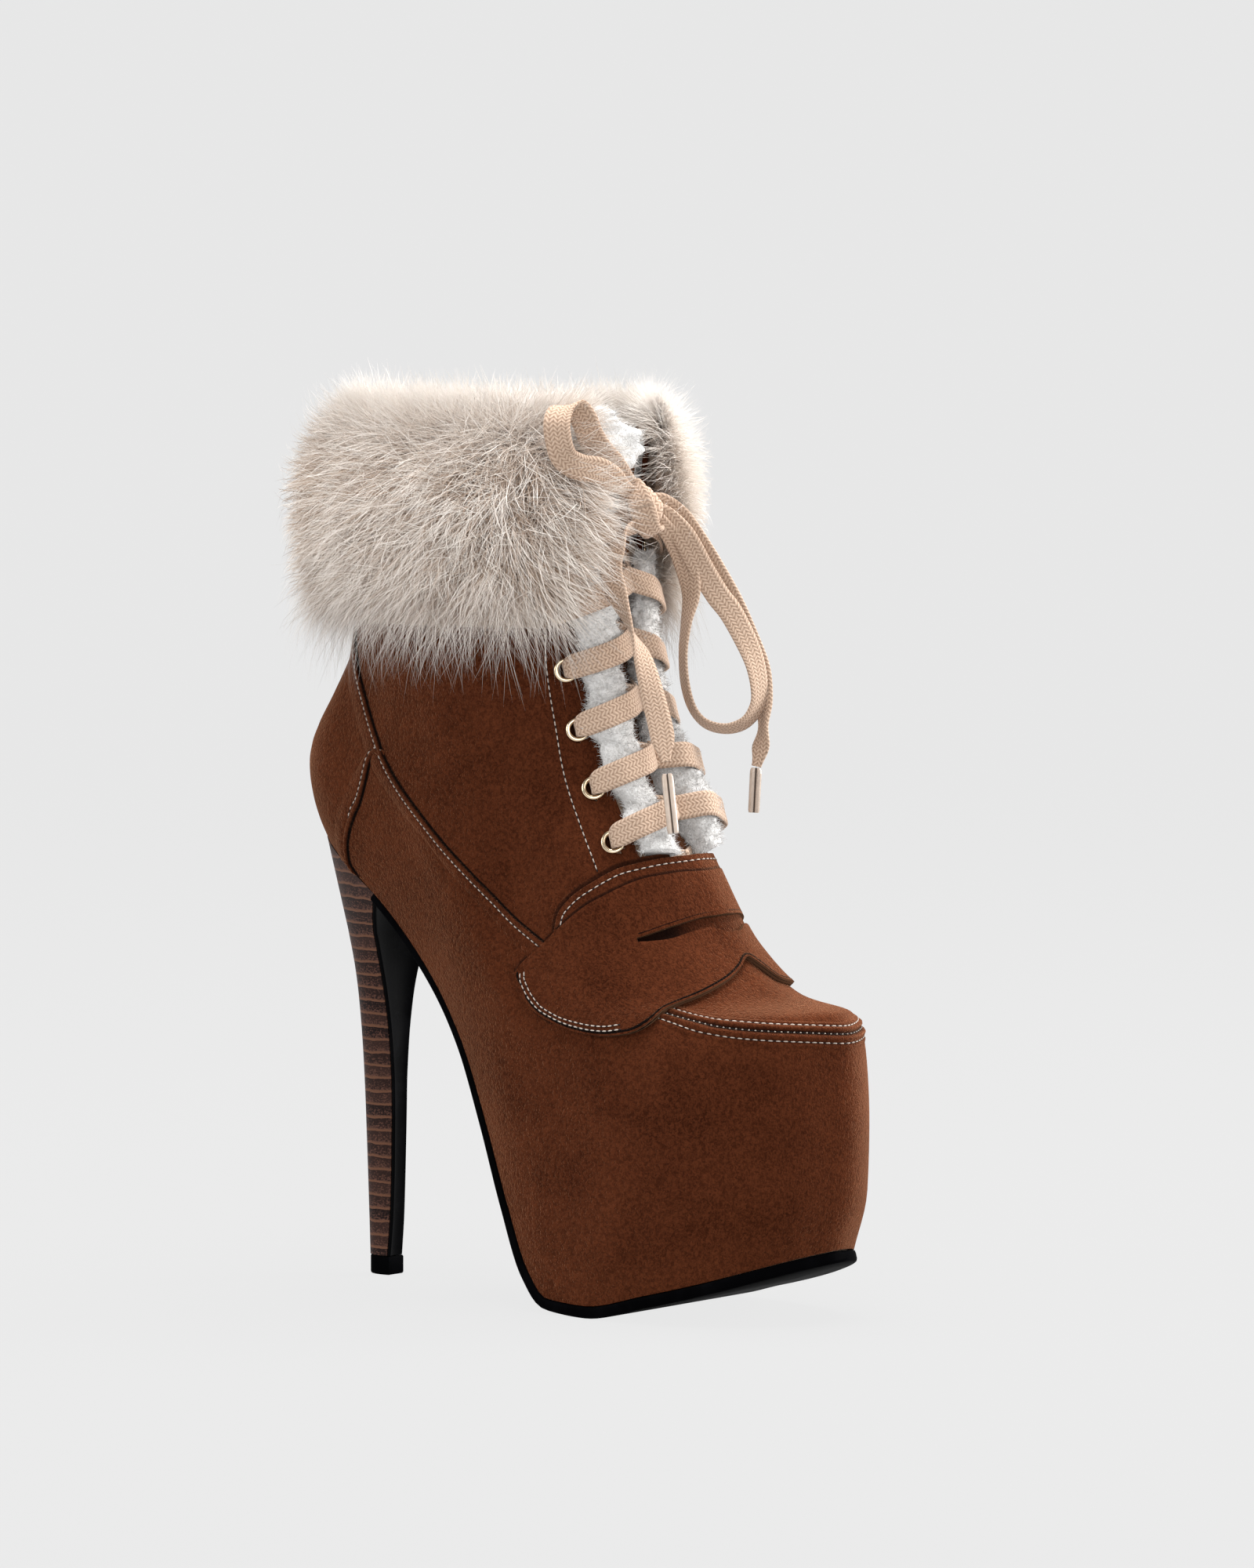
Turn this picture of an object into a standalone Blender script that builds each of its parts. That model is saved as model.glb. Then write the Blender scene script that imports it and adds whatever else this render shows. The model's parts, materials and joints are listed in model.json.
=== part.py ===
"""Platform ankle boot with a fur cuff, for the right foot.

The boot is drawn with the centre of its heel tip at zero, the toe along +X, the inner (medial) side along +Y
and up along +Z, in millimetres, and is scaled to metres as the meshes are made.  An empty then carries every
piece so that the middle of the boot's own box stands over the world origin.
"""

import math

import bmesh
import bpy
import numpy as np
from mathutils import Vector

MM = 0.001

# Driving sizes, in millimetres
CENTRE_X = 88.4
CENTRE_Y = 0.4
WALL = 2.0
GAP = 0.3
OVERLAY_LIFT = 0.55
OUTSOLE_FORE = 4.0
OUTSOLE_WAIST = 3.0
WELT = 0.9
INSOLE_THICK = 2.0
STRAP_THICK = 1.6
FLAP_THICK = 1.3
COUNTER_THICK = 1.2
SEAM_THICK = 1.0
TONGUE_THICK = 2.2
TONGUE_SINK = 4.4
TONGUE_FOOT = 2.45
FLEECE_ASIDE = 6.9
FLEECE_LIFT = 1.2
FLEECE_HIGH = 3.9
FLEECE_WIDE = 6.0
LACE_WIDTH = 8.0
LACE_THICK = 1.1
LACE_GATHER = 0.3
LACE_LOW = 2.9
LACE_HIGH = 5.8
LACE_CLIMB = 7.5
EYELET_RING = 3.5
EYELET_WIRE = 0.95
TOP_LIFT_HIGH = 6.6
BREAST_THICK = 1.2
HEEL_SEAT_X = 13.2
COLLAR_HIGH = 302.0

# Edge of the sole, a row for each station from the toe to the back of the heel
# station share, x, height, outer half width, inner half width
SOLE = (
    (0.00, 200.0, 25.2, -8.0, 8.0),
    (0.06, 195.5, 23.7, 4.0, 22.0),
    (0.12, 187.0, 20.6, 17.0, 30.0),
    (0.19, 171.0, 15.3, 28.5, 36.0),
    (0.27, 150.0, 9.6, 36.0, 38.5),
    (0.36, 126.0, 4.3, 39.0, 38.0),
    (0.42, 109.0, 4.3, 38.5, 36.0),
    (0.47, 99.5, 13.5, 37.2, 34.0),
    (0.53, 87.8, 36.1, 35.0, 31.0),
    (0.59, 75.5, 63.0, 32.0, 28.5),
    (0.65, 62.0, 89.5, 29.0, 26.0),
    (0.72, 44.0, 111.8, 25.0, 24.0),
    (0.80, 20.0, 134.0, 22.0, 22.5),
    (0.87, 0.0, 148.5, 20.5, 21.0),
    (0.94, -15.5, 158.0, 14.0, 14.5),
    (1.00, -22.0, 161.5, 0.0, 0.0),
)
BALL_STATION = 0.36
HEEL_STATION = 0.80
BALL_HALF = 39.0
HEEL_HALF = 22.0

# Sections of the upper, a row for each ring from the feather line to the collar
# front x, front height, back x, back height, half width at ball, half width at heel, share of arch, roundness
RINGS = (
    (200.0, 25.2, -22.0, 161.5, 39.0, 22.0, 1.00, 0.00),
    (205.5, 46.0, -25.0, 168.0, 40.0, 24.0, 0.92, 0.00),
    (206.5, 72.0, -27.0, 175.0, 40.0, 26.0, 0.75, 0.02),
    (205.0, 96.0, -28.0, 182.0, 39.5, 27.5, 0.56, 0.06),
    (199.0, 103.5, -28.0, 187.0, 38.0, 28.0, 0.50, 0.10),
    (184.0, 114.5, -26.5, 193.0, 36.0, 28.5, 0.40, 0.18),
    (163.0, 129.0, -23.0, 200.0, 34.5, 29.0, 0.28, 0.30),
    (140.0, 157.0, -16.0, 211.0, 33.0, 29.5, 0.16, 0.50),
    (121.0, 190.0, -7.5, 228.0, 33.0, 30.5, 0.06, 0.75),
    (112.0, 225.0, -4.0, 247.0, 35.0, 32.5, 0.00, 0.90),
    (111.0, 262.0, -5.0, 272.0, 39.0, 37.0, 0.00, 1.00),
    (114.0, 302.0, -8.0, 302.0, 42.0, 41.0, 0.00, 1.00),
)
LAST_RING = len(RINGS) - 1

# Height of the foot bed: station share, height
FOOT_BED = (
    (0.00, 79.0),
    (0.19, 67.0),
    (0.36, 61.5),
    (0.47, 68.0),
    (0.53, 82.5),
    (0.59, 98.0),
    (0.65, 114.0),
    (0.72, 128.5),
    (0.80, 145.0),
    (0.87, 156.5),
    (1.00, 168.5),
)

# Heel sections below the seat: height, back x, front x, half width
HEEL = (
    (6.9, -6.9, 3.6, 4.7),
    (43.0, -7.9, 4.2, 5.2),
    (66.0, -9.0, 4.6, 5.6),
    (83.0, -9.8, 4.8, 6.8),
    (100.0, -11.0, 5.1, 8.9),
    (112.0, -12.4, 5.8, 11.3),
    (124.0, -14.6, 7.6, 14.8),
)

# Edges drawn on the upper: distance round the ring from the front, ring number
THROAT_EDGE = ((6.85, 0.135), (9.0, 0.150), (11.0, 0.195))
THROAT_BASE = 6.85
STRAP_TOP = (
    (0.00, 6.78),
    (0.172, 6.65),
    (0.285, 6.30),
    (0.375, 5.68),
    (0.445, 5.03),
    (0.462, 4.82),
)
STRAP_BOTTOM = (
    (0.00, 5.75),
    (0.035, 5.70),
    (0.10, 5.43),
    (0.18, 5.00),
    (0.225, 4.65),
    (0.275, 4.20),
    (0.30, 3.97),
    (0.335, 3.95),
    (0.377, 4.02),
    (0.417, 4.28),
    (0.453, 4.52),
    (0.462, 4.66),
)
SLOT_END = 0.20
SLOT_TOP = ((0.00, 6.36), (0.075, 6.33), (0.20, 6.10))
SLOT_BOTTOM = ((0.00, 6.22), (0.075, 6.20), (0.20, 6.00))
FLAP_TOP = (
    (0.00, 7.00),
    (0.06, 6.99),
    (0.165, 6.91),
    (0.265, 6.68),
    (0.323, 6.28),
    (0.350, 6.02),
)
COUNTER_EDGE = (
    (0.05, 0.846),
    (1.33, 0.853),
    (2.30, 0.838),
    (4.98, 0.795),
    (6.28, 0.755),
    (6.60, 0.735),
    (7.00, 0.752),
    (7.68, 0.797),
    (7.85, 0.815),
)
SIDE_SEAM = (
    (0.375, 5.80),
    (0.45, 6.10),
    (0.562, 6.05),
    (0.662, 5.98),
    (0.712, 6.40),
)
APRON_SEAM = (
    (0.00, 3.35),
    (0.05, 3.52),
    (0.10, 3.84),
    (0.15, 4.09),
    (0.20, 4.36),
    (0.21, 4.41),
)
EYELET_ROWS = (7.12, 7.66, 8.24, 8.82, 9.39, 9.95)
EYELET_ASIDE = 0.040

# Fur cuff profile: height, thickness of the fur there
CUFF = (
    (227.0, 8.0),
    (238.0, 14.0),
    (254.0, 17.5),
    (272.0, 17.0),
    (290.0, 14.5),
    (303.0, 10.0),
    (310.0, 4.5),
)
CUFF_INNER_LOW = 231.0
CUFF_INNER_HIGH = 307.0
CUFF_START = 0.262
CUFF_LIFT = 1.0

# Bow, a row for each bend of the lace between its ends: x, y, height
LOOP_OUTER = (
    (133.0, 20.5, 257.0),
    (137.0, 27.5, 240.0),
    (140.5, 34.5, 223.0),
    (141.5, 37.6, 212.0),
    (138.3, 33.0, 203.0),
    (133.4, 24.8, 200.6),
    (129.2, 18.0, 206.8),
    (126.6, 13.8, 217.0),
    (126.2, 13.3, 231.0),
    (126.6, 13.0, 247.0),
)
LOOP_UPPER = (
    (117.5, -22.0, 289.5),
    (113.6, -31.0, 297.0),
    (110.2, -37.0, 308.5),
    (113.0, -35.5, 317.0),
    (116.6, -28.0, 311.5),
    (119.0, -18.0, 303.0),
)
END_OUTER = (
    (138.0, 17.6, 266.0),
    (141.8, 23.8, 251.0),
    (145.2, 30.0, 235.0),
    (148.4, 35.4, 216.0),
    (148.6, 35.4, 202.0),
    (146.6, 32.6, 188.8),
)
END_INNER = (
    (123.0, -12.5, 253.0),
    (126.2, -9.0, 238.3),
    (128.6, -8.0, 223.1),
    (131.5, -6.0, 206.6),
    (139.2, -7.0, 190.8),
)
# Where each end of the bow leaves the knot: along the view's right, up, and toward the viewer
LEAVE_LOOP_OUT = (0.98, 0.05, 0.00)
LEAVE_LOOP_HOME = (0.70, -0.65, -0.35)
LEAVE_UPPER_OUT = (-0.70, 0.60, 0.25)
LEAVE_UPPER_HOME = (-0.25, 0.95, -0.10)
LEAVE_END_OUTER = (0.70, 0.60, 0.40)
LEAVE_END_INNER = (-0.60, -0.75, 0.20)
TAG_OUTER = ((146.3, 32.2, 188.0), (146.3, 32.2, 172.0))
TAG_INNER = ((139.6, -7.25, 190.3), (146.9, -10.4, 170.0))
TAG_RADIUS = 1.6
KNOT_PLACE = (122.5, 0.6, 276.3)
KNOT_SIZE = (9.0, 15.0, 16.0)
RIGHT_OF_VIEW = Vector((0.766, 0.643, 0.0))
FACE_TO = Vector((0.643, -0.766, 0.0))


class Curve:
    """Smooth curve through a table that never swings past its rows."""

    def __init__(self, knots, values):
        self.knots = np.asarray(knots, float)
        self.values = np.asarray(values, float)
        self.step = np.diff(self.knots)
        rise = np.diff(self.values) / self.step
        self.slope = np.zeros(len(self.knots))
        self.slope[0] = rise[0]
        self.slope[-1] = rise[-1]
        for i in range(1, len(self.knots) - 1):
            if rise[i - 1] * rise[i] > 0.0:
                before = 2.0 * self.step[i] + self.step[i - 1]
                after = self.step[i] + 2.0 * self.step[i - 1]
                self.slope[i] = (before + after) / (before / rise[i - 1] + after / rise[i])

    def at(self, place):
        """Value at a place, or at each of many."""
        place = np.clip(np.asarray(place, float), self.knots[0], self.knots[-1])
        i = np.clip(np.searchsorted(self.knots, place, side="right") - 1, 0, len(self.knots) - 2)
        t = (place - self.knots[i]) / self.step[i]
        return (
            (1.0 + 2.0 * t) * (1.0 - t) ** 2 * self.values[i]
            + t * (1.0 - t) ** 2 * self.step[i] * self.slope[i]
            + t * t * (3.0 - 2.0 * t) * self.values[i + 1]
            + t * t * (t - 1.0) * self.step[i] * self.slope[i + 1]
        )


def table_curve(table, at):
    """Value of a two-column table at a place."""
    return Curve([row[0] for row in table], [row[1] for row in table]).at(at)


def sole_curve(column, side):
    """Curve of one column of the sole table, carried past both ends by the other side of the foot."""
    shares = [row[0] for row in SOLE]
    if column < 3:
        values = [row[column] for row in SOLE]
        first, last = values[1], values[-2]
    else:
        mine, other = (3, 4) if side < 0 else (4, 3)
        values = [row[mine] for row in SOLE]
        first, last = -SOLE[1][other], -SOLE[-2][other]
    knots = [-shares[1]] + shares + [2.0 - shares[-2]]
    return Curve(knots, [first] + values + [last])


SOLE_X = sole_curve(1, 1.0)
SOLE_Z = sole_curve(2, 1.0)
SOLE_HALF = {-1.0: sole_curve(3, -1.0), 1.0: sole_curve(3, 1.0)}
SHEET = Curve([row[1] for row in reversed(SOLE)], [row[2] for row in reversed(SOLE)])


def sole_height(x):
    """Height of the sole's top sheet at a distance along the foot."""
    return SHEET.at(x)


def smooth_step(value):
    """Ease from 0 to 1."""
    value = np.clip(value, 0.0, 1.0)
    return value * value * (3.0 - 2.0 * value)


def ring_points(ring, share, side):
    """Points of one ring of the upper on one side of the foot."""
    front_x, front_z, back_x, back_z, ball, heel, arch, roundness = ring
    toe_x, toe_z, seat_x, seat_z = RINGS[0][:4]
    forward = (SOLE_X.at(share) - seat_x) / (toe_x - seat_x)
    dip = SOLE_Z.at(share) - (seat_z + (toe_z - seat_z) * forward)
    forward = (1.0 - roundness) * forward + roundness * (1.0 + np.cos(math.pi * share)) / 2.0
    x = back_x + (front_x - back_x) * forward
    z = back_z + (front_z - back_z) * forward + arch * dip
    toward_heel = smooth_step((share - BALL_STATION) / (HEEL_STATION - BALL_STATION))
    scale = (1.0 - toward_heel) * ball / BALL_HALF + toward_heel * heel / HEEL_HALF
    outline = SOLE_HALF[side].at(share) * scale
    oval = ((1.0 - toward_heel) * ball + toward_heel * heel) * np.sin(math.pi * share)
    y = side * ((1.0 - roundness) * outline + roundness * oval)
    return np.stack([x, y, z], axis=-1)


def skin(u, v):
    """Outer face of the upper: u runs round from the front (0) to the back (1, or -1 on the outer side)."""
    u, v = np.broadcast_arrays(np.asarray(u, float), np.asarray(v, float))
    shape = u.shape
    u = np.where(u > 1.0, u - 2.0, np.where(u < -1.0, u + 2.0, u)).ravel()
    v = np.clip(v.ravel(), 0.0, LAST_RING)
    share = np.abs(u)
    rings = []
    for ring in RINGS:
        outer = ring_points(ring, share, -1.0)
        inner = ring_points(ring, share, 1.0)
        rings.append(np.where((u < 0.0)[:, None], outer, inner))
    rings = np.stack(rings)
    rise = np.diff(rings, axis=0)
    both = rise[:-1] * rise[1:]
    total = rise[:-1] + rise[1:]
    middle = np.where(both > 0.0, 2.0 * both / np.where(both > 0.0, total, 1.0), 0.0)
    slope = np.concatenate([rise[:1], middle, rise[-1:]])
    i = np.clip(v.astype(int), 0, LAST_RING - 1)
    t = (v - i)[:, None]
    pick = np.arange(len(v))
    point = (
        (1.0 + 2.0 * t) * (1.0 - t) ** 2 * rings[i, pick]
        + t * (1.0 - t) ** 2 * slope[i, pick]
        + t * t * (3.0 - 2.0 * t) * rings[i + 1, pick]
        + t * t * (t - 1.0) * slope[i + 1, pick]
    )
    return point.reshape(shape + (3,))


def along(u, v):
    """Unit direction round the ring and unit normal of the skin."""
    step = 0.004
    round_way = skin(u + step, v) - skin(u - step, v)
    up_way = skin(u, np.minimum(v + step, LAST_RING)) - skin(u, np.maximum(v - step, 0.0))
    normal = np.cross(round_way, up_way)
    round_way = round_way / np.linalg.norm(round_way, axis=-1, keepdims=True)
    normal = normal / np.linalg.norm(normal, axis=-1, keepdims=True)
    return round_way, normal


def lifted(u, v, lift):
    """Point a little above (or, with a negative lift, below) the skin."""
    u, v, lift = np.broadcast_arrays(np.asarray(u, float), np.asarray(v, float), np.asarray(lift, float))
    return skin(u, v) + along(u, v)[1] * lift[..., None]


def ring_at_height(u, height):
    """Ring number at which the skin reaches a height."""
    u, height = np.broadcast_arrays(np.asarray(u, float), np.asarray(height, float))
    low = np.zeros(u.shape)
    high = np.full(u.shape, float(LAST_RING))
    for _ in range(30):
        middle = 0.5 * (low + high)
        under = skin(u, middle)[..., 2] < height
        low = np.where(under, middle, low)
        high = np.where(under, high, middle)
    return 0.5 * (low + high)


def throat_edge(v):
    """Distance from the front to the edge of the throat."""
    return table_curve(THROAT_EDGE, v)


def in_between(first, last, count):
    """Evenly spaced places, both ends included."""
    return np.linspace(first, last, count)


class Look:
    """Colour and finish of one piece."""

    def __init__(self, colour, roughness, metallic=0.0):
        self.colour = colour
        self.roughness = roughness
        self.metallic = metallic

    def material(self, name):
        """New material with this look."""
        made = bpy.data.materials.new(name + "_look")
        made.use_nodes = True
        shader = made.node_tree.nodes["Principled BSDF"]
        shader.inputs["Base Color"].default_value = (*self.colour, 1.0)
        shader.inputs["Roughness"].default_value = self.roughness
        shader.inputs["Metallic"].default_value = self.metallic
        return made


SUEDE = Look((0.165, 0.062, 0.026), 0.85)
SUEDE_DARK = Look((0.125, 0.045, 0.020), 0.85)
RUBBER = Look((0.012, 0.012, 0.013), 0.45)
GLOSS = Look((0.008, 0.008, 0.009), 0.15)
STACKED = Look((0.125, 0.065, 0.042), 0.55)
FLEECE = Look((0.80, 0.77, 0.73), 0.95)
FUR = Look((0.72, 0.62, 0.53), 0.95)
LACE = Look((0.62, 0.48, 0.36), 0.90)
METAL = Look((0.78, 0.66, 0.48), 0.25, 1.0)
TAG = Look((0.60, 0.50, 0.42), 0.35)
BED = Look((0.30, 0.22, 0.16), 0.90)


class Boot:
    """Collects the pieces under one empty."""

    def __init__(self):
        self.parts = bpy.data.collections.new("platform_ankle_boot")
        bpy.context.scene.collection.children.link(self.parts)
        self.frame = bpy.data.objects.new("boot_frame", None)
        self.frame.location = (-CENTRE_X * MM, -CENTRE_Y * MM, 0.0)
        self.parts.objects.link(self.frame)

    def add_mesh(self, name, mesh, look, smooth_angle=40.0):
        """Object with its material, shading and parent."""
        piece = bpy.data.objects.new(name, mesh)
        self.parts.objects.link(piece)
        return self.adopt(piece, name, look, smooth_angle)

    def adopt(self, piece, name, look, smooth_angle=40.0):
        """Name a piece, give it its look and hang it on the empty."""
        piece.name = name
        piece.data.name = name
        piece.data.materials.clear()
        piece.data.materials.append(look.material(name))
        piece.data.shade_smooth()
        piece.data.set_sharp_from_angle(angle=math.radians(smooth_angle))
        for holder in list(piece.users_collection):
            if holder != self.parts:
                holder.objects.unlink(piece)
        if piece.name not in self.parts.objects:
            self.parts.objects.link(piece)
        piece.parent = self.frame
        return piece

    def add_sheet(self, name, points, thickness, outward, look, keep=None, wrap=False):
        """Open surface through a grid of points, made thick by Solidify.

        The first index of the grid runs round the boot and the second upward, so faces point outward.
        """
        count, rows = points.shape[:2]
        cells = count if wrap else count - 1
        form = bmesh.new()
        made = {}

        def corner(i, j):
            i = i % count
            if (i, j) not in made:
                made[i, j] = form.verts.new(points[i, j] * MM)
            return made[i, j]

        for i in range(cells):
            for j in range(rows - 1):
                if keep is None or keep[i][j]:
                    form.faces.new((corner(i, j), corner(i + 1, j), corner(i + 1, j + 1), corner(i, j + 1)))
        mesh = bpy.data.meshes.new(name)
        form.to_mesh(mesh)
        form.free()
        piece = self.add_mesh(name, mesh, look)
        wall = piece.modifiers.new("thickness", "SOLIDIFY")
        wall.thickness = thickness * MM
        wall.offset = 1.0 if outward else -1.0
        wall.use_quality_normals = True
        return piece

    def add_loft(self, name, rings, look, smooth_angle=40.0):
        """Closed solid through rings of points, each in step from the front round by the inner side."""
        form = bmesh.new()
        made = [[form.verts.new(np.asarray(point) * MM) for point in ring] for ring in rings]
        count = len(made[0])
        for low, high in zip(made, made[1:]):
            for i in range(count):
                n = (i + 1) % count
                form.faces.new((low[i], low[n], high[n], high[i]))
        self.cap(form, made[-1], False)
        self.cap(form, made[0], True)
        mesh = bpy.data.meshes.new(name)
        form.to_mesh(mesh)
        form.free()
        return self.add_mesh(name, mesh, look, smooth_angle)

    @staticmethod
    def cap(form, ring, downward):
        """Close a ring with rungs from the inner side across to the outer side."""
        count = len(ring)
        for i in range((count - 1) // 2 + (0 if count % 2 else 1)):
            corners = []
            for k in (i, i + 1, count - i - 1, (count - i) % count):
                if ring[k] not in corners:
                    corners.append(ring[k])
            if len(corners) > 2:
                form.faces.new(reversed(corners) if downward else corners)


def both_sides(shares):
    """Places round a ring from the front, by the inner side to the back, and home by the outer side."""
    shares = np.asarray(shares, float)
    return np.concatenate([shares, -shares[-2:0:-1]])


STATIONS = np.array(
    [0.0, 0.03, 0.06, 0.09, 0.12, 0.155, 0.19, 0.23, 0.27, 0.315, 0.36, 0.39, 0.42, 0.445, 0.47, 0.50]
    + [0.53, 0.56, 0.59, 0.62, 0.65, 0.685, 0.72, 0.76, 0.80, 0.835, 0.87, 0.905, 0.94, 0.97, 1.0]
)
EDGE_COLUMN = 4


def build_upper(boot):
    """Hollow skin from the feather line to the collar, open at the throat, the top and below."""
    rows = np.array([0.0, 0.5, 1.0, 2.0, 3.0, 3.4, 3.8, 4.2, 4.7, 5.3, 5.9, 6.4, THROAT_BASE])
    rows = np.concatenate([rows, [7.4, 8.0, 8.7, 9.5, 10.2, 11.0]])
    columns = both_sides(STATIONS)
    edge_at = STATIONS[EDGE_COLUMN]
    u = np.empty((len(columns), len(rows)))
    for j, v in enumerate(rows):
        settle = smooth_step((v - 5.0) / (THROAT_BASE - 5.0))
        edge = (1.0 - settle) * edge_at + settle * throat_edge(max(v, THROAT_BASE))
        share = np.abs(columns)
        inside = share / edge_at * edge
        outside = edge + (share - edge_at) / (1.0 - edge_at) * (1.0 - edge)
        u[:, j] = np.sign(columns) * np.where(share <= edge_at, inside, outside)
    points = skin(u, np.broadcast_to(rows, u.shape))
    keep = np.ones((len(columns), len(rows) - 1), bool)
    throat_row = int(np.argmin(np.abs(rows - THROAT_BASE)))
    for i in range(len(columns)):
        middle = 0.5 * (abs(columns[i]) + abs(columns[(i + 1) % len(columns)]))
        if middle < edge_at:
            keep[i, throat_row:] = False
    boot.add_sheet("upper", points, WALL, False, SUEDE, keep, wrap=True)


def sheet_frame(x):
    """Unit normal of the sole's sheet, pointing up."""
    slope = (sole_height(x + 0.5) - sole_height(x - 0.5)) / 1.0
    return np.array([-slope, 0.0, 1.0]) / math.hypot(slope, 1.0)


def build_outsole(boot):
    """Black sheet under the forefoot and the waist, ending at the heel's front."""
    last = 0.806
    shares = np.concatenate([STATIONS[STATIONS < last - 0.01], [last]])
    outline = np.concatenate([shares, -shares[::-1][:-1]])
    top = []
    bottom = []
    for u in outline:
        before = skin(u - 0.01, 0.0)
        after = skin(u + 0.01, 0.0)
        place = skin(u, 0.0).copy()
        out = np.array([after[1] - before[1], before[0] - after[0], 0.0])
        out = out / np.linalg.norm(out)
        grow = WELT * (1.0 - smooth_step((abs(u) - 0.5) / 0.2))
        place = place + out * grow
        place[2] = sole_height(place[0])
        waist = smooth_step((abs(u) - 0.36) / 0.2)
        thick = (1.0 - waist) * OUTSOLE_FORE + waist * OUTSOLE_WAIST
        up = sheet_frame(place[0])
        top.append(place - up * GAP)
        bottom.append(place - up * (GAP + thick))
    boot.add_loft("outsole", [bottom, top], RUBBER)


def build_platform(boot):
    """Block under the foot bed, inside the skin."""
    columns = both_sides(STATIONS)
    heights = table_curve(FOOT_BED, np.abs(columns))
    full = ring_at_height(columns, heights)
    inset = WALL + 0.5
    rings = []
    for share in (0.0, 0.25, 0.5, 0.75, 1.0):
        ring = lifted(columns, full * share, -inset)
        if share == 0.0:
            ring[:, 2] = sole_height(ring[:, 0]) + 0.1
        rings.append(ring)
    rings[-1][:, 2] = heights
    boot.add_loft("platform", rings, BED)


def build_insole(boot):
    """Thin bed on top of the platform."""
    columns = both_sides(STATIONS)
    heights = table_curve(FOOT_BED, np.abs(columns))
    rings = []
    for rise in (GAP, GAP + INSOLE_THICK):
        level = ring_at_height(columns, heights + rise)
        ring = lifted(columns, level, -(WALL + 0.8))
        ring[:, 2] = heights + rise
        rings.append(ring)
    boot.add_loft("insole", rings, FLEECE)


def heel_ring(height, back_x, front_x, half):
    """Section of the heel: a flat front and a round back."""
    points = [(front_x, 0.0), (front_x, 0.55 * half), (front_x, half)]
    for angle in in_between(0.0, 90.0, 9)[1:]:
        turn = math.radians(angle)
        points.append((front_x + (back_x - front_x) * math.sin(turn), half * math.cos(turn)))
    whole = points + [(x, -y) for x, y in points[-2:0:-1]]
    return np.array([(x, y, height) for x, y in whole])


def seat_ring(inset):
    """Top of the heel, on the underside of the sole's sheet."""
    start = 0.8235
    points = []
    half = np.interp(start, [row[0] for row in SOLE], [row[3] for row in SOLE]) - inset
    points = [(HEEL_SEAT_X, 0.0), (HEEL_SEAT_X, 0.55 * half), (HEEL_SEAT_X, half)]
    for share in in_between(start, 1.0, 9)[1:]:
        place = skin(share, 0.0)
        points.append((place[0] + inset * (share > 0.99), max(place[1] - inset, 0.0)))
    whole = points + [(x, -y) for x, y in points[-2:0:-1]]
    return np.array([(x, y, sole_height(x) - GAP) for x, y in whole])


def build_heel(boot):
    """Tall heel, its black front and its tip."""
    inset = BREAST_THICK + GAP
    rings = [heel_ring(z, back, front - inset, half) for z, back, front, half in HEEL]
    seat = seat_ring(0.3)
    low = rings[-1]
    for share in (0.22, 0.48, 0.74):
        ring = low + (seat - low) * share
        pull = 0.10 * math.sin(math.pi * share) * (seat[0, 0] - low[0, 0])
        ring[:, 0] -= pull * (ring[:, 0] > 0.0)
        rings.append(ring)
    rings.append(seat)
    boot.add_loft("heel", rings, STACKED)

    places = in_between(-1.0, 1.0, 5)
    grid = np.empty((len(places), len(rings), 3))
    for j, ring in enumerate(rings):
        half = ring[2, 1]
        grid[:, j, 0] = ring[0, 0] + GAP
        grid[:, j, 1] = places * half
        grid[:, j, 2] = ring[0, 2]
    grid[:, -1, 2] = sole_height(HEEL_SEAT_X + inset) - 0.5
    boot.add_sheet("heel_breast", grid, BREAST_THICK, True, GLOSS)

    z, back, front, half = HEEL[0]
    ring = heel_ring(0.0, back, front, half + 0.1)
    high = ring.copy()
    high[:, 2] = TOP_LIFT_HIGH
    boot.add_loft("top_lift", [ring, high], RUBBER)


def mirrored_places(shares):
    """Places from the outer side over the front to the inner side."""
    shares = np.asarray(shares, float)
    return np.concatenate([-shares[:0:-1], shares])


def build_strap(boot):
    """Strap over the vamp with round tabs, a slot and a notch."""
    shares = [0.0, 0.035, 0.07, 0.105, 0.14, 0.17, SLOT_END, 0.2375, 0.275, 0.305]
    shares = mirrored_places(shares + [0.335, 0.377, 0.417, 0.445, 0.462])
    share = np.abs(shares)
    low = table_curve(STRAP_BOTTOM, share)
    high = table_curve(STRAP_TOP, share)
    slot_low = np.where(share <= SLOT_END, table_curve(SLOT_BOTTOM, share), low + 0.70 * (high - low))
    slot_high = np.where(share <= SLOT_END, table_curve(SLOT_TOP, share), low + 0.78 * (high - low))
    rows = [low + (slot_low - low) * t for t in (0.0, 0.34, 0.67, 1.0)]
    rows += [slot_high, high]
    v = np.stack(rows, axis=1)
    u = np.broadcast_to(shares[:, None], v.shape)
    keep = np.ones((len(shares) - 1, v.shape[1] - 1), bool)
    for i in range(len(shares) - 1):
        if max(share[i], share[i + 1]) <= SLOT_END + 1e-6:
            keep[i, 3] = False
    boot.add_sheet("vamp_strap", lifted(u, v, OVERLAY_LIFT), STRAP_THICK, True, SUEDE, keep)


def build_flap(boot):
    """Edge of the vamp over the foot of the tongue."""
    shares = mirrored_places([0.0, 0.04, 0.08, 0.12, 0.16, 0.20, 0.24, 0.275, 0.31, 0.345])
    share = np.abs(shares)
    low = table_curve(STRAP_TOP, share) + 0.03
    high = table_curve(FLAP_TOP, share)
    v = np.stack([low + (high - low) * t for t in (0.0, 0.5, 1.0)], axis=1)
    u = np.broadcast_to(shares[:, None], v.shape)
    boot.add_sheet("vamp_flap", lifted(u, v, OVERLAY_LIFT), FLAP_THICK, True, SUEDE)


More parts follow.
